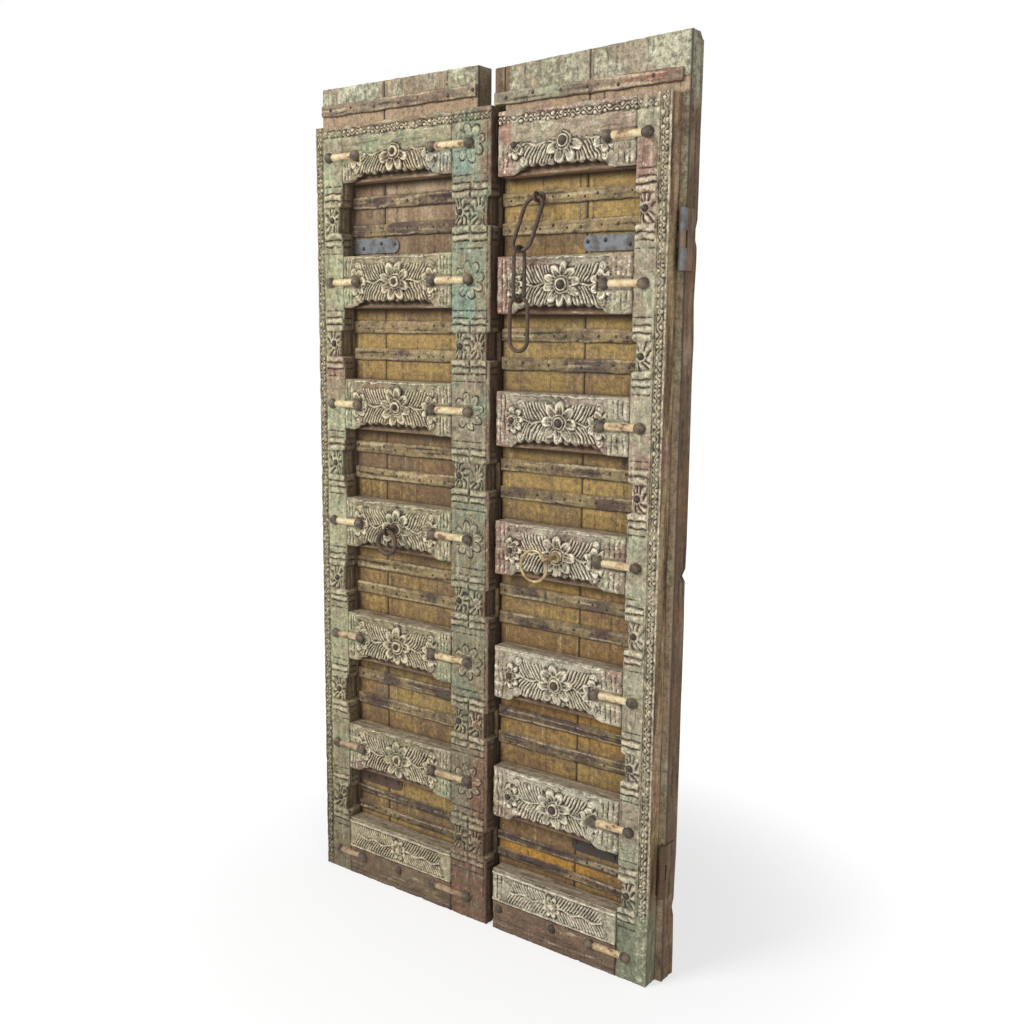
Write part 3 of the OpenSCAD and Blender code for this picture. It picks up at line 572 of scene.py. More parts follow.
def scored_lines(across, z, height, a0, a1):
    """Shallow cuts that frame the plain stretches between pilasters and rails."""
    cut = np.zeros_like(across)
    for k in range(GAPS + 1):
        for off in (-72, 72):
            cut = np.maximum(cut, 2.4 * crest(z - rail_z(height, k) - off, 2.2))
    return -cut * between(across, a0, a1, 2)


def top_band(x, z, height):
    """Running border under the plain fillet at the top of the frame; not a number elsewhere."""
    w = z - height + 20
    rope = vine(w, x) * between(w, -9, 9, 2) - 2.6 * (crest(w + 9.5, 1.3) + crest(w - 9.5, 1.3))
    return np.where(w > -12, rope, np.nan)


def side_columns(z, height, seed):
    """Relief of a stile's side: bands that run round from the pilasters, and the worn wood between them."""
    deep, zz = np.meshgrid(np.linspace(0, 1, SIDE_STEPS), z[:, 0])
    relief = 0.5 * ripple(zz * 0.2, deep * FRAME_T, seed, 40, 9)
    carved = np.zeros_like(relief)
    for p in PANELS:
        dz = zz - panel_z(height, p)
        near = np.abs(dz) < 66
        ring = bands(dz) * 0.6 + 2.4 * np.abs(np.cos(np.pi * deep * 3)) * ease(31, 27, np.abs(dz)) - 1.0
        carved = np.where(near, ring * ease(0, 0.06, deep) * ease(0.72, 0.66, deep), carved)
    return relief, carved, -1.6 * crest((deep - 0.7) * FRAME_T, 1.4), deep, zz


def make_hinge_stile(side, finish):
    height = LEAF_H[side]
    if side == "left":
        x0, x1, outer, sign, rod = LEFT_X, LEFT_IN - JOINT, LEFT_X, 1, 59.0
    else:
        x0, x1, outer, sign, rod = RIGHT_IN + JOINT, RIGHT_END, RIGHT_END, -1, 44.0
    seed = 1000 if side == "left" else 2000
    width = x1 - x0
    x, z = stile_grid(x0, x1, height)
    d = sign * (x - outer)
    foot = 0.0 if side == "left" else 165.0
    running = ease(foot - 12, foot + 12, z)
    cut_x, cut_z = wobble(x, z, seed + 21, 0.9)
    cut_d = sign * (cut_x - outer)
    border = vine(cut_d - 14, cut_z) * between(d, 4.5, 23.5, 1.5)
    border = (border - 2.6 * crest(d - 25.5, 1.3) - 1.4 * crest(d - 4, 1.2)) * running
    half = (width - PILASTER_IN - 3) / 2
    carved = np.zeros_like(x)
    for p in PANELS:
        near = np.abs(z - panel_z(height, p)) < 70
        carved[near] = pilaster(cut_d[near] - PILASTER_IN - half, cut_z[near] - panel_z(height, p), half)
    on_border = d < STILE_BORDER
    on_face = ease(STILE_BORDER, STILE_BORDER + 2, d)
    body = np.where(on_border, border, carved) + scored_lines(d, z, height, 30, width - 1)
    for k in range(GAPS + 1):
        body = body * (1 - rod_bed(z - rail_z(height, k)) * ease(width - rod - 3, width - rod, d))
    band = top_band(x, z, height)
    body = np.where(np.isnan(band) | (d < 26), body, np.nan_to_num(band))
    paint = np.maximum(on_face * np.where(np.abs(carved) < 0.4, 1.0, 0.5), 1 - running)
    paint = paint * (1 - 0.55 * ease(800, 100, z) * (side == "left"))
    # Grime and painted shade: darker where the stile's inner edge steps down to the panel and at the left
    # stile's outer edge; also darker towards the bottom
    grime_and_shade = 0.5 * fade(d, 4) * (side == "left") + (0.38 if side == "left" else 0.32) * ease(700, 0, z)
    grime_and_shade = grime_and_shade + 0.5 * fade(d - width, 2.5) - 0.13 * on_border * (side == "right")
    red = np.clip(ripple(x * 0, z, seed + 9, 900, 200) - 0.9, 0, 1) * on_face * ease(400, 600, z)
    if side == "right":
        red = np.maximum(red, ease(1735, 1760, z) * ease(1900, 1890, z) * on_face * 0.9)
    red = np.maximum(red, ease(height - 11, height - 9, z) * 0.7)
    bare = 0.4 * ease(600, 60, z) * (side == "left")
    body, masks = worn_face(body, x, z, (x0, x1, 0, height), seed, grime_and_shade, paint=paint, red=red, bare=bare)
    masks["ridge"] = masks["ridge"] + 0.07 * on_border * (side == "right")
    relief, rings, cut, deep, zz = side_columns(z, height, seed + 5)
    if side == "right":
        relief = relief - crest((deep - 0.5) * FRAME_T, 1.2)
        streak = ripple(deep * 60, zz * 0.12, seed + 6, 60, 8)
        # Painted shade in the corner at the back of the side, where it meets the plank; also darker towards
        # the bottom
        side_grime_and_shade = 0.7 * ease(0.86, 1.0, deep) + 0.35 * ease(330, 150, zz)
        coat = np.clip(0.3 * ease(260, 120, zz) + 0.35 * streak, 0, 0.9)
        rust = np.clip(0.5 * ripple(zz, zz * 0, seed + 8, 600, 90), 0, 0.9)
        side_masks = {"ridge": 0.55 + 0.12 * streak, "grime_and_shade": side_grime_and_shade, "bare": 1.0, "paint": coat,
                      "tone": 0.6 + 0.3 * streak, "red": rust}
    else:
        relief = relief + rings + cut
        # Painted shade in the corner where the side meets the panel
        side_masks = {"ridge": 0.42 + 0.12 * rings, "grime_and_shade": 0.35 + 0.5 * ease(0.6, 1.0, deep), "bare": 0.7,
                      "paint": 0.5, "tone": 0.4, "red": 0.15}
    narrow = WAIST * waist(z, height) * ease(0.55, 1.0, (d - PILASTER_IN) / (width - PILASTER_IN))
    relief = relief * ease(0, 0.1, deep)
    bm = new_board()
    add_wrapped_board(bm, x - sign * narrow, FACE_Y - body, z, masks, relief, side_masks, PLANK_Y)
    settle(side, "carved_hinge_stile", bm, finish, "hinge_stile")


def make_meeting_stile(finish):
    x0, x1 = MEETING_IN + JOINT, MEETING_X
    mid = (x0 + x1) / 2
    seed = 3000
    x, z = stile_grid(x0, x1, LEFT_H)
    carved = np.zeros_like(x)
    cut_x, cut_z = wobble(x, z, seed + 21, 0.9)
    half_l, half_r = (mid - 3 - x0 - 3) / 2, (x1 - 8 - mid - 3) / 2
    for p in PANELS:
        dz = cut_z - panel_z(LEFT_H, p)
        near = np.abs(dz) < 70
        left = pilaster(cut_x[near] - (x0 + 3 + half_l), dz[near], half_l)
        right = pilaster(cut_x[near] - (mid + 3 + half_r), dz[near], half_r)
        carved[near] = np.where(x[near] < mid, left, right)
    flowers = np.zeros_like(x)
    rod_end = ROD_STILE_ENDS["meeting"]
    for k in range(GAPS):
        dz = z - rail_z(LEFT_H, k)
        near = np.abs(dz) < 56
        up = cut_z[near] - rail_z(LEFT_H, k)
        bloom = outlined_flower(cut_x[near] - rod_end, up, STILE_FLOWER_R, turn=0.2)
        across = ease(rod_end + ROD_CLEAR + 3, rod_end + ROD_CLEAR, x[near])
        bed = ease(ROD_CLEAR + 2, ROD_CLEAR, np.abs(dz[near])) * across
        flowers[near] = bloom * (1 - bed) * ease(x0, x0 + 16, x[near])
    quiet = np.abs(flowers) < 0.5
    body = np.where(np.abs(carved) > 0.05, carved, flowers)
    split = 2.2 * crest(x - mid, 1.5) * (np.abs(carved) > 0.05)
    body = body + (scored_lines(x, z, LEFT_H, x0 + 1, x1 - 9) - split) * quiet
    body = body - 2.2 * crest(x - x1 + 9, 1.4)
    band = top_band(x, z, LEFT_H)
    body = np.where(np.isnan(band), body, np.nan_to_num(band))
    body = body * (1 - rod_bed(z - rail_z(LEFT_H, GAPS)))
    right_half = ease(mid - 4, mid + 14, x)
    edge_red = ease(x1 - 14, x1 - 8, x) * (0.75 + 0.25 * ripple(x, z, seed + 100, 500, 120))
    patches = np.clip(ripple(x * 0.5, z, seed + 101, 700, 160) - 0.6, 0, 1) * right_half
    head = ease(1800, 1850, z) * ease(mid + 22, mid + 30, x) * 0.85
    foot = np.maximum(ease(560, 440, z) * right_half, ease(300, 120, z)) * 0.9
    fillet = ease(LEFT_H - 11, LEFT_H - 9, z) * 0.6
    red = np.clip(np.maximum.reduce([edge_red, patches, head, foot, fillet]), 0, 1)
    paint = np.where(np.abs(carved) < 0.4, 0.9, 0.5) * (1 - 0.7 * foot) * (0.6 + 0.4 * ease(800, 1200, z))
    # Grime and painted shade: darker at the left edge, where the stile steps down to the panel; also darker
    # on the strip at the right edge and towards the bottom
    grime_and_shade = 0.5 * fade(x - x0, 3) + 0.4 * ease(x1 - 8, x1, x) + 0.3 * ease(500, 100, z)
    bare = 0.35 * ease(700, 200, z)
    body, masks = worn_face(body, x, z, (x0, x1, 0, LEFT_H), seed, grime_and_shade, paint=paint, red=red, bare=bare)
    relief, rings, cut, deep, _ = side_columns(z, LEFT_H, seed + 5)
    side_masks = {"ridge": 0.42 + 0.14 * rings, "grime_and_shade": 0.4 + 0.5 * ease(0.5, 1.0, deep), "bare": 0.8,
                  "paint": 0.25, "tone": 0.4, "red": 0.35}
    relief = (relief + rings + cut) * ease(0, 0.1, deep)
    across = (x - mid) / (x1 - mid)
    narrow = WAIST * waist(z, LEFT_H) * ease(0.55, 1.0, np.abs(across)) * np.sign(across)
    bm = new_board()
    add_wrapped_board(bm, x - narrow, FACE_Y - body, z, masks, relief, side_masks, PLANK_Y)
    settle("left", "carved_meeting_stile", bm, finish, "meeting_stile")


# Planks

PANEL_TONES = {"left": (0.58, 0.6, 0.4, 0.5, 0.5, 0.5), "right": (0.68, 0.58, 0.52, 0.4, 0.45, 0.36)}


def plank_grime_and_shade(side, x, z):
    """Grime and painted shade on the planks beside rails, stiles and battens, darkest just under the rails
    and the battens.
    """
    height = LEAF_H[side]
    x_in = (LEFT_IN, MEETING_IN) if side == "left" else (RIGHT_PLANK_X - 4, RIGHT_IN)
    # Painted shade: the planks darken next to the parts that stand in front of them
    grime_and_shade = fade(x - x_in[0], 9) + fade(x_in[1] - x, 9)
    for p in PANELS:
        half = batten_tall(height, p) / 2
        low, high = panel_low(height, p), panel_high(height, p)
        grime_and_shade = np.maximum(grime_and_shade, 1.1 * fade(high - z, 13) + 0.7 * fade(z - low, 7))
        for row in batten_rows(height, p):
            grime_and_shade = np.maximum(grime_and_shade, 0.95 * fade(row - half - z, 3.5))
            grime_and_shade = np.maximum(grime_and_shade, 0.6 * fade(z - row - half, 3))
    grime_and_shade = grime_and_shade * (z < height) * (x > x_in[0] - 20) * (x < x_in[1] + 20)
    return np.clip(np.maximum(grime_and_shade, 0.9 * fade(z - height, 5)), 0, 1)


def plank_tone(side, x, z, seed):
    """Wash that differs from row to row between the battens."""
    height = LEAF_H[side]
    rng = np.random.default_rng(seed)
    wash = np.full(x.shape, 0.3)
    for p in PANELS:
        rows = [panel_low(height, p)] + batten_rows(height, p) + [panel_high(height, p)]
        for low, high in zip(rows[:-1], rows[1:]):
            value = PANEL_TONES[side][p - 1] + rng.uniform(-0.22, 0.22)
            wash = np.where((z >= low) & (z < high), value, wash)
    return wash


def plank_edge(side, z, seed, chips):
    """Relief of a plank's side with its chips broken out, the depth of each point, and the masks."""
    deep, zz = np.meshgrid(np.linspace(0, 1, SIDE_STEPS), z[:, -1])
    relief = -np.clip(0.6 * ripple(deep * PLANK_T, zz * 0.03, seed + 7, 30, 6) + 0.4, 0, 3)
    worn = 0.5 + 0.12 * relief
    for at, above, below, depth in chips:
        near = np.clip(1 - np.maximum((zz - at) / above, (at - zz) / below), 0, 1)
        relief = relief - depth * near * ease(0.25, 0.85, deep)
    streak = ripple(deep * 20, zz, seed + 8, 420, 90)
    rust = np.clip(0.05 + 0.2 * ripple(deep * 10, zz, seed + 9, 380, 80), 0, 0.4) * ease(1800, 1650, zz)
    top_part = ease(LEAF_H[side] - 40, LEAF_H[side] + 30, zz)
    dark = 0.2 + 0.15 * top_part + 0.3 * ease(0.9, 1.0, deep) + 0.35 * ease(0.05, 0.0, deep)
    coat = 0.7 * top_part * (0.3 if side == "left" else 1.0)
    coat = coat + 0.25 * ease(1650, 1850, zz) + 0.12 * streak + 0.3 * ease(1000, 700, zz)
    masks = {"ridge": worn, "grime_and_shade": dark, "bare": 1.0, "tone": 0.32 + 0.15 * streak, "red": rust,
             "paint": np.clip(coat, 0, 0.9)}
    return relief * ease(0, 0.08, deep), deep, masks


def make_plank(side, name, x0, x1, low, top, seed, wrap=False, worn_corner=0.0, chips=()):
    """Rough plank between x0 and x1 from low up to the slanting top, given as two heights."""
    height = LEAF_H[side]
    columns = max(8, int((x1 - x0) / 4.5))
    rows = max(16, int((max(top) - low) / (4.0 if wrap else 6.5)))
    xs = np.linspace(x0, x1, columns)[None, :]
    share = (xs - x0) / (x1 - x0)
    crown = top[0] + (top[1] - top[0]) * share + 0.35 * ripple(xs, xs * 0, seed, 60, 8) - 0.6
    t = np.linspace(0, 1, rows)[:, None]
    z = low + (crown - low) * t
    x = np.broadcast_to(xs, z.shape)
    grain = ripple(x, z * 0.03, seed + 1, 30, 5)
    cracks = ease(2.0, 2.5, ripple(x, z * 0.02, seed + 2, 18, 5)) * ease(height - 120, height + 20, z)
    sunk = np.clip(0.25 * grain + 0.25, 0, 2) + 1.0 * cracks
    d = np.minimum(x - x0, x1 - x)
    sunk = sunk + 1.8 * ease(2.5, 0, d) + 1.6 * ease(4, 0, crown - z)
    grime_and_shade = np.maximum(plank_grime_and_shade(side, x, z), 0.9 * fade(d, 2.2))
    grime_and_shade = np.clip(np.maximum(grime_and_shade, cracks), 0, 1)
    batten_top = height + HEAD_UP[side] + HEAD_H
    green = ease(batten_top - 22, batten_top - 12, z + 3 * ripple(x, z, seed + 4, 60, 12))
    bare = ease(height - 8, height, z)
    tint = np.where(z > height, 0.9 - 0.55 * green, plank_tone(side, x, z, seed + 3))
    rows_red = 1.6 * (plank_tone(side, x, z, seed + 12) - 0.2) * ease(1200, 500, z) * (side == "right")
    red = np.where(z > height, 0.2 * (1 - green), rows_red)
    if side == "left":
        green = green * (0.92 + 0.2 * ripple(x, z * 0.3, seed + 11, 160, 40))
        green = green * (1 - 0.15 * ease(-360, -120, x))
        bare = np.maximum(bare, 0.85 * (z > panel_low(height, 1) - 10))
    else:
        green = green * (0.97 + 0.1 * ripple(x, z * 0.3, seed + 11, 120, 30))
        green = green * (1 - 0.9 * ease(96, 52, x))
        margin = ease(RIGHT_END - 2, RIGHT_END, x) * (z < height)
        bare = np.maximum(bare, margin)
        tint = np.where(margin > 0.5, 0.9 + 0.25 * ripple(x * 2, z * 0.5, seed + 5, 200, 40), tint)
        patches = 0.45 + 0.3 * ripple(x * 2, z * 0.4, seed + 6, 420, 90) + 0.5 * ease(1650, 1850, z)
        green = np.maximum(green, margin * patches)
        red = red * (1 - margin)
    green, red = np.clip(green, 0, 1), np.clip(red, 0, 1)
    masks = {"ridge": 0.5 + 0.07 * grain, "grime_and_shade": grime_and_shade, "paint": green, "red": red,
             "bare": np.clip(bare, 0, 1), "tone": tint}
    y = PLANK_Y + sunk
    bm = new_board()
    if wrap:
        relief, deep, side_masks = plank_edge(side, z, seed, chips)
        drop = worn_corner * ease(0.5, 1.0, deep) ** 2 * ease(0.975, 1.0, t)
        add_wrapped_board(bm, x, y, z, masks, relief, side_masks, PLANK_BACK, drop)
    else:
        add_board(bm, x, y, z, masks, PLANK_BACK)
    settle(side, f"rough_{name}", bm, plank_finish, name)


def make_planks():
    left_top = (LEFT_H + TONGUE_L, LEFT_H + TONGUE_L)

    def right_top(x):
        return RIGHT_H + TONGUE_R + TONGUE_RISE * (x - RIGHT_PLANK_X) / (RIGHT_EDGE - RIGHT_PLANK_X)

    make_plank("left", "outer_plank", LEFT_EDGE, LEFT_SEAM - SEAM, 0, left_top, 4100)
    make_plank("left", "inner_plank", LEFT_SEAM + SEAM, TONGUE_CUT, 0, left_top, 4200, wrap=True)
    make_plank("left", "meeting_plank", TONGUE_CUT + 2 * SEAM, MEETING_X, 0, (LEFT_H, LEFT_H), 4300)
    make_plank("right", "top_block", TONGUE_REACH, RIGHT_PLANK_X - 2 * SEAM, LEFT_H + 6,
               (right_top(TONGUE_REACH), right_top(RIGHT_PLANK_X)), 4400)
    make_plank("right", "inner_plank", RIGHT_PLANK_X, RIGHT_SEAM - SEAM, 0,
               (right_top(RIGHT_PLANK_X), right_top(RIGHT_SEAM)), 4500)
    make_plank("right", "outer_plank", RIGHT_SEAM + SEAM, RIGHT_EDGE, 0,
               (right_top(RIGHT_SEAM), right_top(RIGHT_EDGE)), 4600, wrap=True, worn_corner=15.0,
               chips=((1700, 30, 26, 6.5), (957, 18, 11, 7.5), (165, 24, 20, 4.0), (1560, 90, 90, 3.0)))


# Battens and nails

BATTEN_TONES = {"left": (0.35, 0.9, 0.7, 0.55, 0.45, 0.4), "right": (0.85, 0.55, 0.5, 0.45, 0.35, 0.3)}


def add_batten(bm, x0, x1, z, height, thick, seed, tint=0.45, red=0.0, paint=0.0):
    """Split strip nailed on the planks, its edges uneven."""
    xs = np.linspace(x0, x1, int((x1 - x0) / BATTEN_STEP))[None, :]
    low = z - height / 2 + 0.7 * ripple(xs, xs * 0, seed, 120, 12) + 0.5
    high = z + height / 2 + 0.7 * ripple(xs, xs * 0, seed + 1, 120, 12) - 0.5
    zz = low + (high - low) * np.linspace(0, 1, 9)[:, None]
    x = np.broadcast_to(xs, zz.shape)
    grain = ripple(x * 0.04, zz, seed + 2, 20, 4)
    d = np.minimum(zz - low, high - zz)
    sunk = np.clip(0.35 * grain + 0.3, 0, 2) + 1.4 * ease(3, 0, d)
    pits = ease(1.2, 2.0, ripple(x, zz, seed + 3, 40, 8))
    # Pits hold real grime; the batten's lower edge is darkened as painted shade
    grime_and_shade = np.clip(0.55 * pits + 0.6 * fade(zz - low, 3), 0, 1)
    wash = tint + 0.16 * ripple(x, zz * 0, seed + 4, 260, 50)
    masks = {"ridge": 0.5 + 0.12 * grain + 0.12 * crest(d - 3, 2), "grime_and_shade": grime_and_shade, "tone": wash, "red": red,
             "paint": paint, "bare": 0.0}
    add_board(bm, x, PLANK_Y - thick + sunk, zz, masks, PLANK_Y)


def head_z(side):
    return LEAF_H[side] + HEAD_UP[side] + HEAD_H / 2


def make_battens(side):
    height = LEAF_H[side]
    x0, x1 = BATTEN_SPAN[side]
    base = 5000 if side == "left" else 6000
    for p in PANELS:
        bm = new_board()
        for row, z in enumerate(batten_rows(height, p)):
            add_batten(bm, x0, x1, z, batten_tall(height, p), BATTEN_T, base + 20 * p + 7 * row,
                       BATTEN_TONES[side][p - 1])
        settle(side, f"split_battens_{p}", bm, batten_finish, f"panel_battens_{p}")
    x0, x1 = HEAD_SPAN[side]
    red, paint = 0.1, 0.25
    if side == "right":
        xs = np.linspace(x0, x1, int((x1 - x0) / BATTEN_STEP))[None, :]
        red, paint = 0.8 * ease(330, 440, xs), 0.75 * ease(330, 180, xs)
    bm = new_board()
    add_batten(bm, x0, x1, head_z(side), HEAD_H, HEAD_T, base + 500, 0.45, red, paint)
    settle(side, "split_head_batten", bm, head_finish, "head_batten")


def stud(bm, x, y, z, radius, rise):
    """Low round nail head on the plane at y."""
    made = bmesh.ops.create_uvsphere(bm, u_segments=9, v_segments=6, radius=1.0)["verts"]
    size = Matrix.Diagonal((radius * MM, rise * MM, radius * MM, 1.0))
    bmesh.ops.transform(bm, matrix=Matrix.Translation((x * MM, y * MM, z * MM)) @ size, verts=made)


def make_nails(side):
    rng = np.random.default_rng(42 if side == "left" else 43)
    height = LEAF_H[side]
    x0, x1 = BATTEN_NAILS[side]
    head_x0, head_x1 = HEAD_NAILS[side]
    bm = bmesh.new()
    for p in PANELS:
        for z in batten_rows(height, p):
            for x in np.arange(x0 + 18, x1 - 8, 41):
                stud(bm, x + rng.uniform(-8, 8), PLANK_Y - BATTEN_T + 0.6, z + rng.uniform(-5, 5),
                     rng.uniform(2.4, 4.4), 2.0)
    for x in np.arange(head_x0 + 24, head_x1, 78):
        stud(bm, x + rng.uniform(-10, 10), PLANK_Y - HEAD_T + 0.6, head_z(side) + rng.uniform(-5, 5),
             rng.uniform(3, 5.5), 2.6)
    inner, sign = (LEFT_IN, 1) if side == "left" else (RIGHT_IN, -1)
    off = STRAP_OFF * panel_clear(height)
    for z in (panel_low(height, 1) + off, panel_high(height, GAPS) - off):
        for along, up in STRAP_NAILS:
            stud(bm, inner + sign * along, PLANK_Y - 3, z + up, 5.0, 3.2)
    for x in FOOT_NAILS[side]:
        stud(bm, x, FACE_Y, FOOT_UP, 11.0, 9.0)
    settle(side, "nail_heads", bm, nail_finish, sharp=60)


# Finishes

def tone(text):
    """Linear colour from a hexadecimal sRGB one."""
    parts = [int(text[i:i + 2], 16) / 255 for i in (0, 2, 4)]
    return tuple(c / 12.92 if c <= 0.04045 else ((c + 0.055) / 1.055) ** 2.4 for c in parts) + (1.0,)


class Value:
    """A socket of a finish; sums and products of values add Math nodes."""

    def __init__(self, paint, socket):
        self.paint = paint
        self.socket = socket

    def math(self, operation, first, second):
        return self.paint.add("ShaderNodeMath", {"operation": operation}, {0: first, 1: second})

    def __add__(self, other):
        return self.math("ADD", self, other)

    def __sub__(self, other):
        return self.math("SUBTRACT", self, other)

    def __rsub__(self, other):
        return self.math("SUBTRACT", other, self)

    def __mul__(self, other):
        return self.math("MULTIPLY", self, other)

    __radd__ = __add__
    __rmul__ = __mul__


class Paint:
    """The nodes of a finish, or of the studio's light, under construction."""

    def __init__(self, name, home=None):
        home = bpy.data.materials if home is None else home
        self.owner = home.new(name)
        self.owner.use_nodes = True
        self.tree = self.owner.node_tree
        self.tree.nodes.clear()
        self.place = self.add("ShaderNodeTexCoord", {}, {}, "Object")

    def add(self, kind, settings, inputs, out=0):
        node = self.tree.nodes.new(kind)
        for key, setting in settings.items():
            setattr(node, key, setting)
        for key, value in inputs.items():
            if isinstance(value, Value):
                self.tree.links.new(value.socket, node.inputs[key])
            else:
                node.inputs[key].default_value = tone(value) if isinstance(value, str) else value
        return Value(self, node.outputs[out]) if node.outputs else None

    def noise(self, scale, stretch=(1, 1, 1), detail=5.0, roughness=0.6, shift=0.0):
        moved = {"Vector": self.place, "Scale": stretch, "Location": (shift, shift, shift)}
        where = self.add("ShaderNodeMapping", {}, moved)
        grain = {"Vector": where, "Scale": scale, "Detail": detail, "Roughness": roughness}
        return self.add("ShaderNodeTexNoise", {}, grain)

    def band(self, value, low, high):
        """0 below low, 1 above high, smooth between; the other way round where low is the larger."""
        spread = {0: value, 1: low, 2: high, 3: 0.0, 4: 1.0}
        return self.add("ShaderNodeMapRange", {"interpolation_type": "SMOOTHSTEP"}, spread)

    def mix(self, factor, first, second):
        """First colour where factor is 0, second where it is 1; each a value or hexadecimal text."""
        return self.add("ShaderNodeMix", {"data_type": "RGBA"}, {0: factor, 6: first, 7: second}, 2)

    def shade(self, colour, value):
        return self.add("ShaderNodeVectorMath", {"operation": "SCALE"}, {0: colour, "Scale": value})

    def mask(self, name):
        return self.add("ShaderNodeAttribute", {"attribute_name": name}, {}, "Fac")

    def axis(self, letter):
        return self.add("ShaderNodeSeparateXYZ", {}, {0: self.place}, letter)

    def facing(self, letter):
        normal = self.add("ShaderNodeNewGeometry", {}, {}, "Normal")
        return self.add("ShaderNodeSeparateXYZ", {}, {0: normal}, letter)

    def shown(self):
        """1 for what the camera sees, straight or mirrored in metal."""
        seen = self.add("ShaderNodeLightPath", {}, {}, "Is Camera Ray")
        return seen + self.add("ShaderNodeLightPath", {}, {}, "Is Glossy Ray")

    def close(self, colour, roughness, height, strength=0.5, distance=0.002, metallic=0.0):
        relief = {"Height": height, "Strength": strength, "Distance": distance}
        bump = self.add("ShaderNodeBump", {}, relief)
        inputs = {"Base Color": colour, "Roughness": roughness, "Metallic": metallic, "Normal": bump}
        shader = self.add("ShaderNodeBsdfPrincipled", {}, inputs)
        self.add("ShaderNodeOutputMaterial", {}, {"Surface": shader})
        return self.owner


ALONG_X = (0.12, 1.0, 1.0)
ALONG_Z = (1.0, 1.0, 0.12)


def old_wood(name, grain, low, high, pale, dark, paint, rose, bare, rub=0.85, cover=0.85, lines=0.5,
             hold=0.12, combed=0.1, blush=0.7, stains=()):
    """Old paint on wood: hollows darkened with grime and painted shade, rubbed pale ridges, colour left on
    the plain parts.
    """
    p = Paint(name)
    broad = p.noise(5.0, detail=6)
    patch = p.noise(17.0, detail=6, shift=3.0)
    spots = p.noise(75.0, detail=5, roughness=0.65, shift=5.0)
    fine = p.noise(230.0, detail=4, shift=7.0)
    fibre = p.noise(95.0, stretch=grain, detail=5, roughness=0.7)
    ridge, grime_and_shade, coated, reddish, bared, washed = (p.mask(key) for key in MASKS)
    ridge = ridge + (spots - 0.5) * 0.26 + (fine - 0.5) * 0.22
    wash = washed + (patch - 0.5) * 1.5 + (spots - 0.5) * 0.5
    colour = p.mix(p.band(wash, 0.15, 0.85), low, high)
    coat = p.mix(p.band(broad * 0.5 + spots * 0.5, 0.42, 0.58), paint[0], paint[1])
    faded = p.band(p.noise(11.0, detail=6, shift=13.0), 0.46, 0.58)
    coat = p.mix(faded * blush, coat, "8d7a66")
    left_on = p.band(patch * 0.6 + spots * 0.4 + (broad - 0.5) * 0.5 - coated * hold, 0.56, 0.36)
    colour = p.mix(left_on * (coated * cover + 0.12), colour, coat)
    years = p.noise(30.0, stretch=grain, detail=6, shift=17.0)
    wood = p.mix(p.band(washed + (years - 0.5) * 1.3, 0.3, 0.9), bare[0], bare[1])
    colour = p.mix(bared * p.band(left_on * coated, 0.7, 0.3), colour, wood)
    colour = p.mix(reddish * p.band(patch, 0.70, 0.42) * 0.85, colour, rose)
    for tint, x, z, half_x, half_z, strength in stains:
        dx = (p.axis("X") - x * MM) * (1 / (half_x * MM))
        dz = (p.axis("Z") - z * MM) * (1 / (half_z * MM))
        near = p.band(dx * dx + dz * dz + (patch - 0.5) * 1.5, 1.3, 0.3)
        colour = p.mix(near * p.band(p.axis("Y"), 0.0, -0.01) * strength, colour, tint)
    streaks = coated * combed + lines
    colour = p.mix(p.band(fibre, 0.52, 0.70) * streaks, colour, dark)
    # Painted shade: hollows of the carving, where ridge is low, turn dark
    colour = p.mix(p.band(ridge, 0.46, 0.24) * 0.9, colour, dark)
    colour = p.mix(p.band(ridge, 0.56, 0.78) * (1.0 - bared * 0.75) * rub, colour, pale)
    grime = p.band(p.noise(36.0, detail=7, roughness=0.7, shift=11.0), 0.52, 0.72)
    colour = p.mix(grime * 0.5, colour, dark)
    colour = p.mix(p.band(fibre, 0.44, 0.30) * streaks, colour, pale)
    # Grime and painted shade: the grime mask darkens the colour for real grime and for painted shade in
    # creases, under parts and at joints
    colour = p.mix(p.band(grime_and_shade + (spots - 0.5) * 0.6, 0.12, 0.95) * 0.92, colour, dark)
    up = p.band(p.facing("Z"), 0.6, 0.85)
    topside = p.mix(p.band(fibre, 0.4, 0.62), "9d907a", "6a5b47")
    colour = p.mix(up * p.band(grime, 0.9, 0.2) * 0.8, colour, topside)
    colour = p.shade(colour, p.band(fine, 0.25, 0.75) * 0.6 + p.band(spots, 0.3, 0.7) * 0.55 + 0.43)
    rough = p.band(fine, 0.2, 0.8) * 0.15 + 0.74
    return p.close(colour, rough, fibre * 0.5 + fine * 0.6 + spots * 0.6, 0.6, 0.0018)


def iron_paint(name, base, rust, pale, metallic=0.55, rough=0.55, eye=None, plate=None):
    """Old iron; a strap's rolled eye and a plate on the planks' edge can have a colour of their own."""
    p = Paint(name)
    patch = p.noise(40.0, detail=6)
    fine = p.noise(260.0, detail=4, shift=3.0)
    colour = p.mix(p.band(patch, 0.45, 0.65), base, rust)
    if eye:
        x = p.axis("X")
        colour = p.mix(p.band(x * x, (EYE_X[0] * MM) ** 2, (EYE_X[1] * MM) ** 2), colour, eye)
    if plate:
        fibre = p.noise(95.0, stretch=ALONG_Z, roughness=0.7)
        wood = p.mix(p.band(fibre, 0.38, 0.62), plate[0], plate[1])
        colour = p.mix(p.band(p.axis("Y"), JAMB_PLATE_Y[0] * MM, JAMB_PLATE_Y[1] * MM), colour, wood)
    colour = p.mix(p.band(fine, 0.58, 0.72) * 0.6, colour, pale)
    worn = p.band(patch, 0.3, 0.7) * 0.25 + rough
    return p.close(colour, worn, patch * 0.6 + fine, 0.45, 0.0012, metallic)


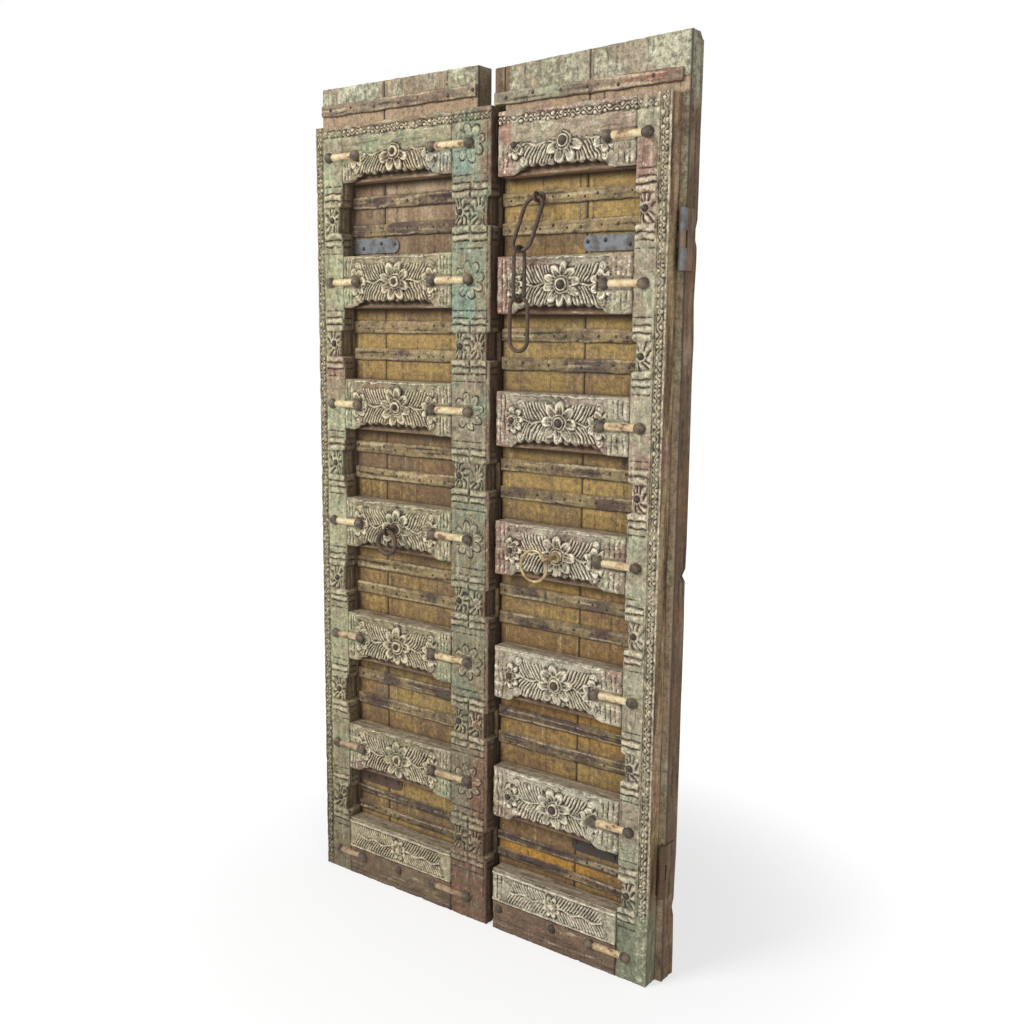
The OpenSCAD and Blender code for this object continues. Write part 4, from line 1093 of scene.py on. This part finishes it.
def rod_paint():
    """Cream rods with dark iron ends: the ends' places along X are known."""
    p = Paint("rod_cream")
    x = p.axis("X")
    chip = p.noise(60.0, stretch=(0.7, 1, 1), detail=6)
    fine = p.noise(240.0, detail=3)
    ends = None
    for centre in sorted((*ROD_ENDS["left"], *ROD_ENDS["right"], *ROD_STILE_ENDS.values())):
        away = x - centre * MM
        near = p.band(away * away, 0.0140 ** 2, 0.0131 ** 2)
        ends = near if ends is None else ends + near
    cream = p.mix(p.band(chip, 0.40, 0.58), "d9c99f", "bfa27c")
    brown = p.mix(p.band(chip, 0.42, 0.58), "9a7d62", "6f503c")
    cream = p.mix(p.band(p.axis("Z") + x * 0.8, 0.5, 0.2) * 0.8, cream, brown)
    cream = p.mix(p.band(chip, 0.56, 0.64) * 0.9, cream, "66492c")
    cream = p.mix(p.band(fine, 0.55, 0.68) * 0.7, cream, "7a5f3d")
    iron = p.mix(p.band(chip, 0.4, 0.62), "392f26", "6a5b49")
    iron = p.mix(p.band(fine, 0.58, 0.7) * 0.5, iron, "8c7c66")
    return p.close(p.mix(ends, cream, iron), 0.6, chip + fine * 0.6, 0.6, 0.0018)


def brass_paint():
    p = Paint("worn_brass")
    patch = p.noise(50.0, detail=5)
    fine = p.noise(300.0, detail=3)
    colour = p.mix(p.band(patch, 0.42, 0.62), "b3a176", "8a744c")
    colour = p.mix(p.band(fine, 0.56, 0.7) * 0.6, colour, "574627")
    return p.close(colour, p.band(patch, 0.3, 0.7) * 0.2 + 0.4, patch + fine * 0.5, 0.3, 0.001, 0.6)


left_carving = old_wood(
    "left_carving", ALONG_X, low="76684f", high="a09476", pale="cdc2a4", dark="2a2018",
    paint=("8b9474", "9d9c7b"), rose="7d5c4c", bare=("65503a", "93795b"), rub=0.92,
    stains=(("949c8c", -112, 1896, 56, 34, 0.65),))
right_carving = old_wood(
    "right_carving", ALONG_X, low="7a6a5b", high="aca48e", pale="d6ccb4", dark="2c2119",
    paint=("979479", "a8a187"), rose="8d6455", bare=("65503a", "93795b"), rub=0.95)
left_stile = old_wood(
    "left_stile", ALONG_Z, low="7c7157", high="958b6c", pale="c2b999", dark="33281c",
    paint=("8e9575", "a5a381"), rose="8a6350", bare=("5e4a30", "7d683f"), rub=0.7, cover=0.95)
right_stile = old_wood(
    "right_stile", ALONG_Z, low="7f735d", high="9c9176", pale="cdc3a7", dark="33281c",
    paint=("939478", "a5a188"), rose="8e685a", bare=("715a3d", "a08a64"), rub=0.75, cover=0.9,
    stains=(("767c64", 475, 70, 75, 160, 0.85),))
meeting_carving = old_wood(
    "meeting_carving", ALONG_Z, low="665a45", high="84795e", pale="b5ad90", dark="2a2119",
    paint=("77836c", "888e75"), rose="79533f", bare=("4a3a2a", "655038"), rub=0.7, cover=0.9,
    stains=(("809384", -40, 1885, 48, 46, 0.75), ("7a8f7e", -37, 1555, 50, 62, 0.7)))
plank_finish = old_wood(
    "plank_wash", ALONG_Z, low="6c5439", high="977c46", pale="b8a67a", dark="33261a",
    paint=("7d7b63", "b2b096"), rose="91682d", bare=("664f39", "a38d74"), rub=0.6, cover=1.0, lines=0.22,
    hold=0.27, combed=0.5, stains=(("a87a2c", 215, 211, 150, 22, 0.85), ("9a7430", 340, 560, 120, 40, 0.6),
                                   ("967436", 260, 880, 130, 26, 0.5)))
batten_finish = old_wood(
    "batten_stain", ALONG_X, low="4a382f", high="877450", pale="b3a27e", dark="231914",
    paint=("8a8c70", "9c9a7a"), rose="6d4238", bare=("5e4a3a", "77624a"), rub=0.65, cover=0.8, lines=0.3)
head_finish = old_wood(
    "head_batten_stain", ALONG_X, low="6c5848", high="8d7a62", pale="b8a88a", dark="2f241b",
    paint=("8f957a", "a2a284"), rose="80493f", bare=("5e4a3a", "77624a"), rub=0.8, cover=0.9, lines=0.35)
nail_finish = iron_paint("nail_iron", "3a3028", "55463a", "85776a", 0.35, 0.45)
ring_finish = iron_paint("ring_iron", "43372e", "614a3a", "857462", 0.35, 0.5)

finish_of = {
    "upper_strap": iron_paint("strap_iron", "6d7073", "5c5956", "96989c", 0.35, 0.5, eye="80695b"),
    "left_lower_strap": iron_paint("rusty_strap_iron", "564338", "4b3a30", "7c6a5a", 0.2, 0.65),
    "right_lower_strap": iron_paint("dark_strap_iron", "3b3835", "4a3c30", "68625c", 0.35, 0.55,
                                    eye="5a4233"),
    "upper_jamb": iron_paint("hinge_iron", "76787a", "67625e", "94969a", 0.2, 0.65,
                             plate=("5c4635", "86694f")),
    "lower_jamb": iron_paint("rusty_hinge_iron", "54452f", "65493a", "85785a", 0.1, 0.75,
                             plate=("453525", "7a6247")),
    "boss_nails": nail_finish, "rods": rod_paint(), "chain": ring_finish,
    "left_ring": ring_finish, "right_ring": brass_paint(),
}
for node_name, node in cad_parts.items():
    for word, finish in finish_of.items():
        if word in node_name:
            node.data.materials.clear()
            node.data.materials.append(finish)

for leaf, finish, stile in (("left", left_carving, left_stile), ("right", right_carving, right_stile)):
    for k in range(GAPS):
        make_rail(leaf, k, finish)
    make_foot_rail(leaf, finish)
    make_hinge_stile(leaf, stile)
    make_battens(leaf)
    make_nails(leaf)
make_meeting_stile(meeting_carving)
make_planks()


# Floor, light and camera

def make_floor():
    """Pale floor that fades into the white background away from the door."""
    bm = bmesh.new()
    bmesh.ops.create_grid(bm, x_segments=1, y_segments=1, size=14.0)
    mesh = bpy.data.meshes.new("floor")
    bm.to_mesh(mesh)
    bm.free()
    floor = bpy.data.objects.new("floor", mesh)
    bpy.context.scene.collection.objects.link(floor)
    p = Paint("floor_white")
    away = p.add("ShaderNodeVectorMath", {"operation": "LENGTH"}, {0: p.place}, "Value")
    matt = p.add("ShaderNodeBsdfDiffuse", {}, {"Color": (0.86, 0.86, 0.86, 1)})
    glow = p.add("ShaderNodeEmission", {}, {"Color": (1, 1, 1, 1), "Strength": 1.12})
    white = p.band(away, 0.55, 1.5) * 0.45 + 0.55
    shader = p.add("ShaderNodeMixShader", {}, {0: p.shown() * white, 1: matt, 2: glow})
    p.add("ShaderNodeOutputMaterial", {}, {"Surface": shader})
    mesh.materials.append(p.owner)


def make_world():
    """Even white light, and a white background behind the door."""
    p = Paint("studio", bpy.data.worlds)
    light = p.add("ShaderNodeBackground", {}, {"Color": (1, 1, 1, 1), "Strength": 0.42})
    white = p.add("ShaderNodeBackground", {}, {"Color": (1, 1, 1, 1), "Strength": 1.0})
    both = p.add("ShaderNodeMixShader", {}, {0: p.shown(), 1: light, 2: white})
    p.add("ShaderNodeOutputWorld", {}, {"Surface": both})
    bpy.context.scene.world = p.owner


def lamp(name, place, target, size, power):
    data = bpy.data.lights.new(name, "AREA")
    data.shape = "DISK"
    data.size = size
    data.energy = power
    item = bpy.data.objects.new(name, data)
    aim = Vector(target) - Vector(place)
    item.matrix_world = Matrix.Translation(place) @ aim.to_track_quat("-Z", "Y").to_matrix().to_4x4()
    bpy.context.scene.collection.objects.link(item)


def make_camera():
    """Camera fitted to the photograph: place, turn, tilt, roll and focal length."""
    place = Vector((1.70114, -2.20450, 1.49867))
    yaw, pitch, roll = 0.6370, 0.1594, 0.0098
    pixels, focal = 1024, 1138.71
    ahead = Vector((-math.sin(yaw) * math.cos(pitch), math.cos(yaw) * math.cos(pitch), -math.sin(pitch)))
    right = Vector((math.cos(yaw), math.sin(yaw), 0))
    up = right.cross(ahead)
    turned_right = right * math.cos(roll) + up * math.sin(roll)
    turned_up = up * math.cos(roll) - right * math.sin(roll)
    data = bpy.data.cameras.new("camera")
    data.sensor_width = 36.0
    data.lens = focal * data.sensor_width / pixels
    data.clip_end = 60
    camera = bpy.data.objects.new("camera", data)
    axes = Matrix((turned_right, turned_up, -ahead)).transposed()
    camera.matrix_world = Matrix.Translation(place) @ axes.to_4x4()
    bpy.context.scene.collection.objects.link(camera)
    bpy.context.scene.camera = camera


make_floor()
make_world()
lamp("key", (-1.6, -3.6, 3.6), (0, 0, 1.0), 2.2, 170)
lamp("fill", (3.4, -2.4, 2.2), (0, 0, 1.0), 2.4, 40)
make_camera()
bpy.context.scene.view_settings.view_transform = "Standard"
